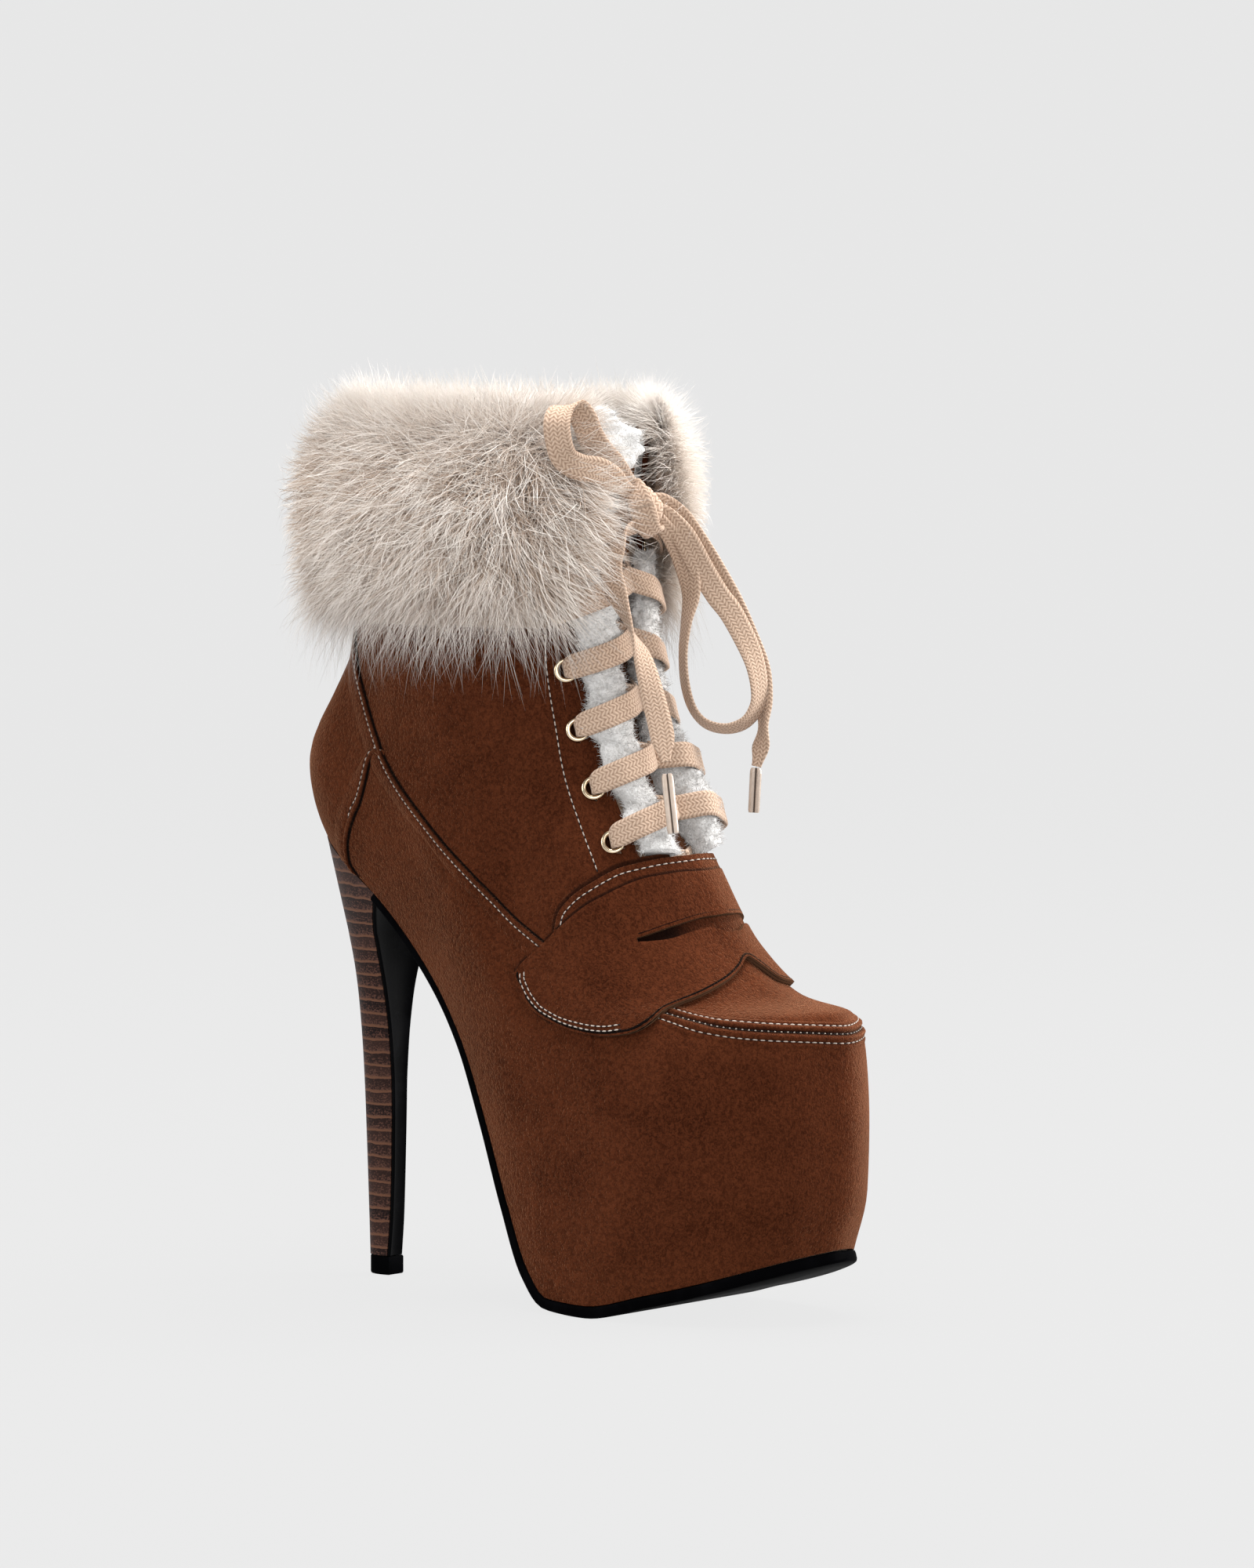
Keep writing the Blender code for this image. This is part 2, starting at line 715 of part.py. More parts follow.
def build_counter(boot):
    """Piece round the back of the heel."""
    rows = np.array([0.05, 1.3, 2.6, 3.8, 5.0, 5.9, 6.4, 6.6, 6.85, 7.35, 7.85])
    edge = table_curve(COUNTER_EDGE, rows)
    across = in_between(-1.0, 1.0, 13)
    u = 1.0 + across[:, None] * (1.0 - edge)[None, :]
    v = np.broadcast_to(rows, u.shape)
    boot.add_sheet("counter", lifted(u, v, OVERLAY_LIFT + 0.25), COUNTER_THICK, True, SUEDE)


def build_seams(boot):
    """Raised seams: the apron round the toe and the lower panel's edge on each side."""
    shares = mirrored_places(in_between(0.0, APRON_SEAM[-1][0], 11))
    middle = table_curve(APRON_SEAM, np.abs(shares))
    half = 0.24 + 0.06 * (1.0 - smooth_step(np.abs(shares) / 0.2))
    v = np.stack([middle + half * t for t in (-1.0, 0.0, 1.0)], axis=1)
    u = np.broadcast_to(shares[:, None], v.shape)
    boot.add_sheet("apron_seam", lifted(u, v, OVERLAY_LIFT), SEAM_THICK, True, SUEDE)
    for name, side in (("side_seam_outer", -1.0), ("side_seam_inner", 1.0)):
        run = in_between(SIDE_SEAM[0][0] + 0.034, SIDE_SEAM[-1][0], 13)
        if side < 0.0:
            run = run[::-1]
        high = table_curve(SIDE_SEAM, run)
        v = np.stack([high - drop for drop in (0.42, 0.0)], axis=1)
        u = np.broadcast_to((side * run)[:, None], v.shape)
        boot.add_sheet(name, lifted(u, v, OVERLAY_LIFT), SEAM_THICK, True, SUEDE)


def build_tongue(boot):
    """Tongue behind the lace."""
    rows = np.array([6.2, 6.5, 6.9, 7.4, 8.0, 8.7, 9.5, 10.2, 10.9])
    across = in_between(-1.0, 1.0, 11)
    half = 0.20 + 0.06 * smooth_step((rows - 6.2) / 3.0)
    u = across[:, None] * half[None, :]
    v = np.broadcast_to(rows, u.shape)
    sink = TONGUE_FOOT + (TONGUE_SINK - TONGUE_FOOT) * smooth_step((rows - 6.2) / 0.7)
    boot.add_sheet("tongue", lifted(u, v, -np.broadcast_to(sink, u.shape)), TONGUE_THICK, False, SUEDE_DARK)


def build_fleece(boot):
    """Fleece roll along each edge of the throat."""
    rows = in_between(7.10, 11.0, 15)
    for name, side in (("fleece_outer", -1.0), ("fleece_inner", 1.0)):
        rings = []
        for v in rows:
            edge = throat_edge(v)
            reach = np.linalg.norm(skin(edge, v) - skin(edge - 0.05, v)) / 0.05
            u = side * (edge - FLEECE_ASIDE / reach)
            round_way, normal = along(u, v)
            centre = skin(u, v) + normal * FLEECE_LIFT
            ring = []
            for angle in in_between(0.0, 360.0, 11)[:-1]:
                turn = math.radians(angle)
                out = normal * FLEECE_HIGH * math.cos(turn)
                ring.append(centre + out + round_way * FLEECE_WIDE * math.sin(turn))
            rings.append(np.array(ring))
        boot.add_loft(name, rings, FLEECE)


def build_cuff(boot):
    """Fur band round the shaft, open in front, with tapering locks on its outside."""
    chance = np.random.default_rng(11)
    columns = in_between(CUFF_START, 2.0 - CUFF_START, 37)
    profile = [(CUFF_INNER_HIGH, CUFF_LIFT), (270.0, CUFF_LIFT), (CUFF_INNER_LOW, CUFF_LIFT)] + list(CUFF)
    rings = np.empty((len(columns), len(profile), 3))
    for k, (height, thick) in enumerate(profile):
        v = ring_at_height(columns, min(height, COLLAR_HIGH - 0.1))
        normal = along(columns, v)[1].copy()
        normal[:, 2] = 0.0
        normal = normal / np.linalg.norm(normal, axis=1, keepdims=True)
        rings[:, k] = skin(columns, v) + normal * thick
        rings[:, k, 2] = height
    form = bmesh.new()
    made = [[form.verts.new(point * MM) for point in ring] for ring in rings]
    count = len(made[0])
    outer = []
    for low, high in zip(made, made[1:]):
        for k in range(count):
            n = (k + 1) % count
            face = form.faces.new((low[k], high[k], high[n], low[n]))
            if 2 < k < count - 1:
                outer.append(face)
    form.faces.new(made[0])
    form.faces.new(reversed(made[-1]))
    bmesh.ops.recalc_face_normals(form, faces=form.faces)
    poked = bmesh.ops.poke(form, faces=outer)
    for tip in poked["verts"]:
        length = 1.5 + 3.0 * chance.random()
        out = tip.normal if tip.normal.length > 0.5 else Vector((0.0, 0.0, 1.0))
        tip.co += (out * length + Vector((0.0, 0.0, -0.6 * length))) * MM
    mesh = bpy.data.meshes.new("fur_cuff")
    form.to_mesh(mesh)
    form.free()
    boot.add_mesh("fur_cuff", mesh, FUR, 180.0)


def eyelet_place(row, side):
    """Middle and normal of an eyelet."""
    u = side * (throat_edge(row) + EYELET_ASIDE)
    normal = along(u, row)[1]
    return skin(u, row), normal


def build_eyelets(boot):
    """Row of rings on each side of the throat."""
    for name, side in (("outer", -1.0), ("inner", 1.0)):
        for k, row in enumerate(EYELET_ROWS, start=1):
            place, normal = eyelet_place(row, side)
            bpy.ops.mesh.primitive_torus_add(
                major_segments=12,
                minor_segments=4,
                major_radius=EYELET_RING * MM,
                minor_radius=EYELET_WIRE * MM,
            )
            ring = bpy.context.object
            ring.location = Vector((place + normal * (EYELET_WIRE + 0.45)) * MM)
            ring.rotation_euler = Vector(normal).to_track_quat("Z", "Y").to_euler()
            boot.adopt(ring, "eyelet_%s_%d" % (name, k), METAL)


def lace_band(row, reach, climb, base, half):
    """Grid of a lace over the throat, its ends over a pair of eyelets and its middle higher up."""
    shares = np.array([-1.0, -0.89, -0.78, -0.58, -0.34, 0.0, 0.34, 0.58, 0.78, 0.89, 1.0])
    wide = np.linalg.norm(skin(0.1, row) - skin(-0.1, row)) / 0.2
    tall = np.linalg.norm(skin(0.0, row + 0.1) - skin(0.0, row - 0.1)) / 0.2
    lift = LACE_LOW + (LACE_HIGH - LACE_LOW) * smooth_step((1.0 - np.abs(shares)) / 0.2)
    rise = base + climb * (1.0 - np.abs(shares))
    up = np.stack([rise - half, rise + half], axis=1)
    aside = np.broadcast_to((shares * reach)[:, None], up.shape)
    return lifted(aside / wide, row + up / tall, np.broadcast_to(lift[:, None], up.shape))


def build_laces(boot):
    """Crossed lace: from each pair of eyelets two bands rise over the fleece and join in the middle."""
    half = 0.54 * LACE_WIDTH
    for k, row in enumerate(EYELET_ROWS, start=1):
        reach = abs(eyelet_place(row, 1.0)[0][1]) - 0.4
        name = "lace_cross_%d" % k if k < len(EYELET_ROWS) else "lace_bar"
        boot.add_sheet(name, lace_band(row, reach, LACE_CLIMB, 0.5, half), LACE_THICK, True, LACE)


def ribbon(table, per_bend):
    """Grid of a hanging ribbon that turns its face outward."""
    table = np.array(table)
    knots = np.arange(len(table))
    at = in_between(0.0, len(table) - 1.0, (len(table) - 1) * per_bend + 1)
    path = np.stack([Curve(knots, table[:, axis]).at(at) for axis in range(3)], axis=1)
    ahead = np.gradient(path, axis=0)
    face = np.array(FACE_TO)
    wide = np.cross(face, ahead)
    wide = wide / np.linalg.norm(wide, axis=1, keepdims=True)
    gather = smooth_step(np.minimum(at, len(table) - 1.0 - at) / 0.9)
    half = 0.5 * LACE_WIDTH * (LACE_GATHER + (1.0 - LACE_GATHER) * gather)[:, None]
    return np.stack([path - wide * half, path + wide * half], axis=1)


def knot_edge(leave):
    """Point just outside the knot where a lace leaves it."""
    way = RIGHT_OF_VIEW * leave[0] + Vector((0.0, 0.0, 1.0)) * leave[1] + FACE_TO * leave[2]
    way.normalize()
    stretch = math.sqrt(sum((way[axis] / (0.5 * KNOT_SIZE[axis])) ** 2 for axis in range(3)))
    return tuple(Vector(KNOT_PLACE) + way * (1.0 / stretch + 3.6 * GAP))


def build_bow(boot):
    """Knot, loops, ends and their tags."""
    for name, table in (
        ("lace_loop_outer", (knot_edge(LEAVE_LOOP_OUT),) + LOOP_OUTER + (knot_edge(LEAVE_LOOP_HOME),)),
        ("lace_loop_upper", (knot_edge(LEAVE_UPPER_OUT),) + LOOP_UPPER + (knot_edge(LEAVE_UPPER_HOME),)),
        ("lace_end_outer", (knot_edge(LEAVE_END_OUTER),) + END_OUTER),
        ("lace_end_inner", (knot_edge(LEAVE_END_INNER),) + END_INNER),
    ):
        boot.add_sheet(name, ribbon(table, 2), LACE_THICK, True, LACE)
    for name, (top, foot) in (("tag_outer", TAG_OUTER), ("tag_inner", TAG_INNER)):
        top = Vector(top)
        foot = Vector(foot)
        bpy.ops.mesh.primitive_cylinder_add(vertices=10, radius=TAG_RADIUS * MM, depth=(top - foot).length * MM)
        tag = bpy.context.object
        tag.location = (top + foot) * 0.5 * MM
        tag.rotation_euler = (top - foot).to_track_quat("Z", "Y").to_euler()
        boot.adopt(tag, name, TAG)
    form = bmesh.new()
    bmesh.ops.create_uvsphere(form, u_segments=14, v_segments=9, radius=0.5 * MM)
    bmesh.ops.scale(form, verts=form.verts, vec=KNOT_SIZE)
    bmesh.ops.translate(form, verts=form.verts, vec=Vector(KNOT_PLACE) * MM)
    mesh = bpy.data.meshes.new("lace_knot")
    form.to_mesh(mesh)
    form.free()
    boot.add_mesh("lace_knot", mesh, LACE)


def main():
    """Clear the scene and build the boot."""
    for old in list(bpy.data.objects):
        bpy.data.objects.remove(old, do_unlink=True)
    boot = Boot()
    build_upper(boot)
    build_outsole(boot)
    build_platform(boot)
    build_insole(boot)
    build_heel(boot)
    build_strap(boot)
    build_flap(boot)
    build_counter(boot)
    build_seams(boot)
    build_tongue(boot)
    build_fleece(boot)
    build_cuff(boot)
    build_eyelets(boot)
    build_laces(boot)
    build_bow(boot)


main()
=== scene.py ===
"""Looks of the platform ankle boot: suede, fur, fleece, lace, metal rings and the stacked heel.

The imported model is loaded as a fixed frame.  Sizes here are in millimetres from the middle of the heel
tip, with the toe along +X, the inner (medial) side along +Y and up along +Z.  They become metres of the
frame as each mesh is made.  A place on the upper is (u, v): u runs round from the front (0) to the back
(1, or -1 on the outer side) and v counts the rings from the feather line (0) to the collar (11).
"""

import json
import logging
import math
from dataclasses import dataclass, field
from enum import Enum
from functools import lru_cache
from typing import Dict, List, Optional, Sequence, Tuple

import bpy
import numpy as np
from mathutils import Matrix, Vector

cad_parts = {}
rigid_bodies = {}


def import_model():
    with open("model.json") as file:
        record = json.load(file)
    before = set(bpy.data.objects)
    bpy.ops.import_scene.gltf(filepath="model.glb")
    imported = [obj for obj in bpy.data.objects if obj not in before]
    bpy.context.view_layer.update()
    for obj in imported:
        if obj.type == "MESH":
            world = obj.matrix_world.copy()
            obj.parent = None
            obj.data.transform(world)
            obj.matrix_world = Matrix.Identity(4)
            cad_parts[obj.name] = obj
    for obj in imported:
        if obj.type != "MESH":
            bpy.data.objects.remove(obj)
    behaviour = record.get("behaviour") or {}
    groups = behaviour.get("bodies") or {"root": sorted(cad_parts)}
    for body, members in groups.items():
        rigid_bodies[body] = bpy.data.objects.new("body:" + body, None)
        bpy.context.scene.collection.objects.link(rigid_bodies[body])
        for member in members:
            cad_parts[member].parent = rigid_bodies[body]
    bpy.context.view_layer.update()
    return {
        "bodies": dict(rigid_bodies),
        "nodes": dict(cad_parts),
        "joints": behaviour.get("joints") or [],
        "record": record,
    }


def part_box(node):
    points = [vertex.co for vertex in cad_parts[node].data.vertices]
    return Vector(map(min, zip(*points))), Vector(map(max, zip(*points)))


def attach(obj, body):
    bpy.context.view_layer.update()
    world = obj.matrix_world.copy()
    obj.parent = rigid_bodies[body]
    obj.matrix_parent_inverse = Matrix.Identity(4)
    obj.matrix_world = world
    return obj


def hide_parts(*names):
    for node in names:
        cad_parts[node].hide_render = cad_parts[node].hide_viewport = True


LOG = logging.getLogger("boot")
MM = 0.001
BODY = "root"

# Shading angles in degrees: edges sharper than these stay sharp
SHARP = 50.0
ROUNDED = 60.0
ALL_SMOOTH = 180.0
# Small numbers that keep a comparison or a division safe
TINY = 1e-9
SLACK = 1e-6

Table = Tuple[Tuple[float, ...], ...]
Colour = Tuple[float, float, float]
Place = Tuple[float, float, float]
Pair = Tuple[float, float]
Look = Dict[str, object]
Socket = bpy.types.NodeSocket
Node = bpy.types.Node
Tree = bpy.types.NodeTree
Piece = bpy.types.Object

# Edge of the sole from the toe to the back of the heel
# station share, x, height, outer half width, inner half width
SOLE: Table = (
    (0.00, 200.0, 25.2, -8.0, 8.0),
    (0.06, 195.5, 23.7, 4.0, 22.0),
    (0.12, 187.0, 20.6, 17.0, 30.0),
    (0.19, 171.0, 15.3, 28.5, 36.0),
    (0.27, 150.0, 9.6, 36.0, 38.5),
    (0.36, 126.0, 4.3, 39.0, 38.0),
    (0.42, 109.0, 5.2, 38.5, 36.0),
    (0.47, 99.5, 13.3, 37.2, 34.0),
    (0.53, 87.8, 36.1, 35.0, 31.0),
    (0.59, 75.5, 63.0, 32.0, 28.5),
    (0.65, 62.0, 89.5, 29.0, 26.0),
    (0.72, 44.0, 111.8, 25.0, 24.0),
    (0.80, 20.0, 134.0, 22.0, 22.5),
    (0.87, 0.0, 148.5, 20.5, 21.0),
    (0.94, -15.5, 158.0, 14.0, 14.5),
    (1.00, -22.0, 161.5, 0.0, 0.0),
)

# Sections of the upper from the feather line to the collar
# front x, front height, back x, back height, half width at ball, half width at heel, share of arch, roundness
RINGS: Table = (
    (200.0, 25.2, -22.0, 161.5, 39.0, 22.0, 1.00, 0.00),
    (205.5, 46.0, -25.0, 168.0, 40.0, 24.0, 0.92, 0.00),
    (206.5, 72.0, -27.0, 175.0, 40.0, 26.0, 0.75, 0.02),
    (205.0, 96.0, -28.0, 182.0, 39.5, 27.5, 0.56, 0.06),
    (199.0, 103.5, -28.0, 187.0, 38.0, 28.0, 0.50, 0.10),
    (184.0, 114.5, -26.5, 193.0, 36.0, 28.5, 0.40, 0.18),
    (163.0, 129.0, -23.0, 200.0, 34.5, 29.0, 0.28, 0.30),
    (140.0, 157.0, -16.0, 211.0, 33.0, 29.5, 0.16, 0.50),
    (121.0, 190.0, -7.5, 228.0, 33.0, 30.5, 0.06, 0.75),
    (112.0, 225.0, -4.0, 247.0, 35.0, 32.5, 0.00, 0.90),
    (111.0, 262.0, -5.0, 272.0, 39.0, 37.0, 0.00, 1.00),
    (114.0, 302.0, -8.0, 302.0, 42.0, 41.0, 0.00, 1.00),
)
LAST_RING = len(RINGS) - 1
# How far the front of a section moves, in x and in height: bulge of the toe, hollow over the instep
HOLLOW: Dict[int, Pair] = {4: (1.3, 2.3), 5: (-3.4, -4.7), 6: (-3.1, -4.2)}
TOP_LIFT_FRONT = 3.6
THROAT_BASE = 6.85
THROAT_EDGE: Table = ((THROAT_BASE, 0.135), (9.0, 0.150), (11.0, 0.195))
EYELET_ROWS = (7.12, 7.66, 8.24, 8.82, 9.39, 9.95)
EYELET_ASIDE = 0.040
RIGHT_OF_VIEW = np.array((0.766, 0.643, 0.0))
TOWARD_VIEW = np.array((0.643, -0.766, 0.0))
UPWARD = np.array((0.0, 0.0, 1.0))
VIEW = np.stack([RIGHT_OF_VIEW, UPWARD, TOWARD_VIEW])


class Side(Enum):
    """Side of the foot, as the sign of y."""

    OUTER = -1.0
    INNER = 1.0

    @property
    def word(self) -> str:
        """Name of the side as the nodes use it."""
        return self.name.lower()


def mirrored(table: Table) -> Table:
    """Line carried to the other side of the boot, or of its own middle, in turned order."""
    return tuple((-row[0], *row[1:]) for row in table[::-1])


def on_side(table: Table, side: Side) -> Table:
    """Line of u and v on one side of the boot, with the same panel on its left, seen from outside."""
    return table[::-1] if side is Side.INNER else mirrored(table[::-1])


def ring_section(left: Table, middle: Table = ()) -> Table:
    """Closed outline, the same on the left and right and above and below.

    Args:
        left: Points of its upper left quarter, after the left end.
        middle: Point at the middle of its top, where it has one.

    Returns:
        Points from the left end over the top to the right end and back below.
    """
    top = left + middle + mirrored(left)
    below = tuple((across, -up) for across, up in top[::-1])
    return ((-1.0, 0.0),) + top + ((1.0, 0.0),) + below


def together(*values: object) -> List[np.ndarray]:
    """Numbers and arrays as arrays of one shape."""
    return np.broadcast_arrays(*(np.asarray(value, float) for value in values))


def hermite(
    t: np.ndarray,
    start: np.ndarray,
    stop: np.ndarray,
    leave: np.ndarray,
    arrive: np.ndarray,
    step: object = 1.0,
) -> np.ndarray:
    """Cubic between two values.

    Args:
        t: Share of the way.
        start: First value.
        stop: Second value.
        leave: Slope at the first value.
        arrive: Slope at the second value.
        step: Length of the way.

    Returns:
        The values there.
    """
    return (
        (1.0 + 2.0 * t) * (1.0 - t) ** 2 * start
        + t * (1.0 - t) ** 2 * step * leave
        + t * t * (3.0 - 2.0 * t) * stop
        + t * t * (t - 1.0) * step * arrive
    )


def travel(points: np.ndarray) -> np.ndarray:
    """Length of a line from its first point to each of its points."""
    return np.concatenate([[0.0], np.cumsum(np.linalg.norm(np.diff(points, axis=0), axis=1))])


def even_steps(length: float, spacing: float) -> np.ndarray:
    """Places along a length, about a spacing apart and at least three."""
    return np.linspace(0.0, length, max(3, int(round(length / spacing)) + 1))


class Curve:
    """Smooth curve through a table that never swings past its rows."""

    def __init__(self, knots: Sequence[float], values: Sequence[float]) -> None:
        """Work out the slopes.

        Args:
            knots: Places of the rows, rising.
            values: Values there.
        """
        self.knots = np.asarray(knots, float)
        self.values = np.asarray(values, float)
        self.step = np.diff(self.knots)
        rise = np.diff(self.values) / self.step
        self.slope = np.zeros(len(self.knots))
        self.slope[0] = rise[0]
        self.slope[-1] = rise[-1]
        for i in range(1, len(self.knots) - 1):
            if rise[i - 1] * rise[i] > 0.0:
                before = 2.0 * self.step[i] + self.step[i - 1]
                after = self.step[i] + 2.0 * self.step[i - 1]
                self.slope[i] = (before + after) / (before / rise[i - 1] + after / rise[i])

    @classmethod
    def of(cls, table: Table, column: int = 1) -> "Curve":
        """Curve of one column of a table over its first column."""
        return cls([row[0] for row in table], [row[column] for row in table])

    def at(self, place: np.ndarray) -> np.ndarray:
        """Value at each place.

        Args:
            place: Where to read the curve.

        Returns:
            The values, held level beyond both ends.
        """
        place = np.clip(np.asarray(place, float), self.knots[0], self.knots[-1])
        i = np.clip(np.searchsorted(self.knots, place, side="right") - 1, 0, len(self.knots) - 2)
        t = (place - self.knots[i]) / self.step[i]
        values, slope = self.values, self.slope
        return hermite(t, values[i], values[i + 1], slope[i], slope[i + 1], self.step[i])


def ease(value: np.ndarray) -> np.ndarray:
    """Ease from 0 to 1."""
    value = np.clip(value, 0.0, 1.0)
    return value * value * (3.0 - 2.0 * value)


def unit(vectors: np.ndarray) -> np.ndarray:
    """Vectors of length one."""
    return vectors / np.maximum(np.linalg.norm(vectors, axis=-1, keepdims=True), TINY)


def spline(points: np.ndarray, spacing: float) -> np.ndarray:
    """Round curve through points, with even steps.

    Args:
        points: Bends of the curve, one a row.
        spacing: Distance from sample to sample.

    Returns:
        Samples along the curve.
    """
    points = np.asarray(points, float)
    ends = np.vstack([2.0 * points[0] - points[1], points, 2.0 * points[-1] - points[-2]])
    samples_a_bend = 24
    t = np.linspace(0.0, 1.0, samples_a_bend, endpoint=False)[:, None]
    runs = []
    for before, start, stop, after in zip(ends, ends[1:], ends[2:], ends[3:]):
        squared = (2.0 * before - 5.0 * start + 4.0 * stop - after) * t**2
        cubed = (3.0 * start - before - 3.0 * stop + after) * t**3
        runs.append(0.5 * (2.0 * start + (stop - before) * t + squared + cubed))
    fine = np.vstack(runs + [points[-1:]])
    length = travel(fine)
    at = even_steps(length[-1], spacing)
    return np.stack([np.interp(at, length, column) for column in fine.T], axis=1)


@dataclass(frozen=True)
class Crease:
    """Soft trough (or, with a negative depth, ridge) across the upper between two places."""

    start: Pair
    stop: Pair
    width: float
    depth: float


class Last:
    """Shape of the upper, as in the part's source but for a fuller toe and a hollow over the instep."""

    # Shares of the way round: start and length of the change to the heel's width, end and fade of the hollow
    heel_start, heel_run = 0.36, 0.44
    hollow_end, hollow_fade = 0.34, 0.16
    slope_step = 0.004
    halvings = 22
    samples_a_bend = 40

    def __init__(self) -> None:
        """Read the sole table as curves that run on past both ends by the other side of the foot."""
        self.along_x = self._sole_curve(1, Side.INNER)
        self.along_z = self._sole_curve(2, Side.INNER)
        self.half = {side: self._sole_curve(3, side) for side in Side}
        self.sheet = Curve([row[1] for row in reversed(SOLE)], [row[2] for row in reversed(SOLE)])
        self.throat = Curve.of(THROAT_EDGE)

    @staticmethod
    def _sole_curve(column: int, side: Side) -> Curve:
        """Curve of one column of the sole table."""
        shares = [row[0] for row in SOLE]
        if column < 3:
            values = [row[column] for row in SOLE]
            first, last = values[1], values[-2]
        else:
            mine, other = (3, 4) if side is Side.OUTER else (4, 3)
            values = [row[mine] for row in SOLE]
            first, last = -SOLE[1][other], -SOLE[-2][other]
        return Curve([-shares[1]] + shares + [2.0 - shares[-2]], [first] + values + [last])

    def skin(self, u: np.ndarray, v: np.ndarray) -> np.ndarray:
        """Outer face of the upper.

        Args:
            u: Places round the ring.
            v: Ring numbers.

        Returns:
            Points, with one more axis than u.
        """
        u, v = together(u, v)
        shape = u.shape
        u = np.where(u > 1.0, u - 2.0, np.where(u < -1.0, u + 2.0, u)).ravel()
        v = np.clip(v.ravel(), 0.0, LAST_RING)
        share = np.abs(u)
        toe_x, toe_z, seat_x, seat_z = RINGS[0][:4]
        forward = (self.along_x.at(share) - seat_x) / (toe_x - seat_x)
        dip = self.along_z.at(share) - (seat_z + (toe_z - seat_z) * forward)
        ball_half, heel_half = RINGS[0][4:6]
        to_heel = ease((share - self.heel_start) / self.heel_run)
        sign = np.where(u < 0.0, -1.0, 1.0)
        outline = np.where(u < 0.0, self.half[Side.OUTER].at(share), self.half[Side.INNER].at(share))
        rings = np.empty((len(RINGS), len(u), 3))
        local = 1.0 - ease((share - self.hollow_end) / self.hollow_fade)
        for number, ring in enumerate(rings):
            front_x, front_z, back_x, back_z, ball, heel, arch, roundness = RINGS[number]
            move_x, move_z = HOLLOW.get(number, (0.0, 0.0))
            way = (1.0 - roundness) * forward + roundness * (1.0 + np.cos(math.pi * share)) / 2.0
            flat = outline * ((1.0 - to_heel) * ball / ball_half + to_heel * heel / heel_half)
            oval = ((1.0 - to_heel) * ball + to_heel * heel) * np.sin(math.pi * share)
            ring[:, 0] = back_x + (front_x + move_x * local - back_x) * way
            ring[:, 1] = sign * ((1.0 - roundness) * flat + roundness * oval)
            ring[:, 2] = back_z + (front_z + move_z * local - back_z) * way + arch * dip
        rise = np.diff(rings, axis=0)
        both = rise[:-1] * rise[1:]
        total = rise[:-1] + rise[1:]
        middle = np.where(both > 0.0, 2.0 * both / np.where(both > 0.0, total, 1.0), 0.0)
        slope = np.concatenate([rise[:1], middle, rise[-1:]])
        i = np.clip(v.astype(int), 0, LAST_RING - 1)
        t = (v - i)[:, None]
        here, above = (i, np.arange(len(v))), (i + 1, np.arange(len(v)))
        point = hermite(t, rings[here], rings[above], slope[here], slope[above])
        return point.reshape(shape + (3,))

    def ways(self, u: np.ndarray, v: np.ndarray) -> Tuple[np.ndarray, np.ndarray, np.ndarray]:
        """Local directions of the skin.

        Args:
            u: Places round the ring.
            v: Ring numbers.

        Returns:
            Change of place per unit of u, per unit of v, and the unit normal.
        """
        u, v = together(u, v)
        step = self.slope_step
        high = np.minimum(v + step, LAST_RING)
        low = np.maximum(v - step, 0.0)
        round_way = (self.skin(u + step, v) - self.skin(u - step, v)) / (2.0 * step)
        up_way = (self.skin(u, high) - self.skin(u, low)) / (high - low)[..., None]
        return round_way, up_way, unit(np.cross(round_way, up_way))

    def lifted(self, u: np.ndarray, v: np.ndarray, lift: np.ndarray) -> np.ndarray:
        """Points above (or, with a negative lift, below) the skin."""
        u, v, lift = together(u, v, lift)
        return self.skin(u, v) + self.ways(u, v)[2] * lift[..., None]

    def walk(self, u: np.ndarray, v: np.ndarray, way: np.ndarray) -> Tuple[np.ndarray, np.ndarray]:
        """Place that lies a short way along the skin.

        Args:
            u: Starting places round the ring.
            v: Starting ring numbers.
            way: Displacement in millimetres, about in the skin.

        Returns:
            New u and v.
        """
        round_way, up_way, _ = self.ways(u, v)
        uu = np.sum(round_way * round_way, axis=-1)
        uv = np.sum(round_way * up_way, axis=-1)
        vv = np.sum(up_way * up_way, axis=-1)
        a = np.sum(round_way * way, axis=-1)
        b = np.sum(up_way * way, axis=-1)
        span = np.maximum(uu * vv - uv * uv, TINY)
        return u + (a * vv - b * uv) / span, v + (b * uu - a * uv) / span

    def ring_at_height(self, u: np.ndarray, height: np.ndarray) -> np.ndarray:
        """Ring number at which the skin reaches a height."""
        u, height = together(u, height)
        low = np.zeros(u.shape)
        high = np.full(u.shape, float(LAST_RING))
        for _ in range(self.halvings):
            middle = 0.5 * (low + high)
            under = self.skin(u, middle)[..., 2] < height
            low = np.where(under, middle, low)
            high = np.where(under, high, middle)
        return 0.5 * (low + high)

    def creased(self, u: np.ndarray, v: np.ndarray, creases: Sequence[Crease]) -> np.ndarray:
        """Depth of all creases at each place.

        Args:
            u: Places round the ring.
            v: Ring numbers.
            creases: The troughs and ridges.

        Returns:
            How far the skin moves outward, in millimetres.
        """
        point = self.skin(u, v)
        depth = np.zeros(point.shape[:-1])
        for crease in creases:
            start = self.skin(*crease.start)
            run = self.skin(*crease.stop) - start
            share = np.clip(np.sum((point - start) * run, axis=-1) / np.dot(run, run), 0.0, 1.0)
            away = np.linalg.norm(point - start - share[..., None] * run, axis=-1)
            fade = np.sin(math.pi * share) ** 2
            depth -= crease.depth * fade * np.exp(-((away / crease.width) ** 2))
        return depth

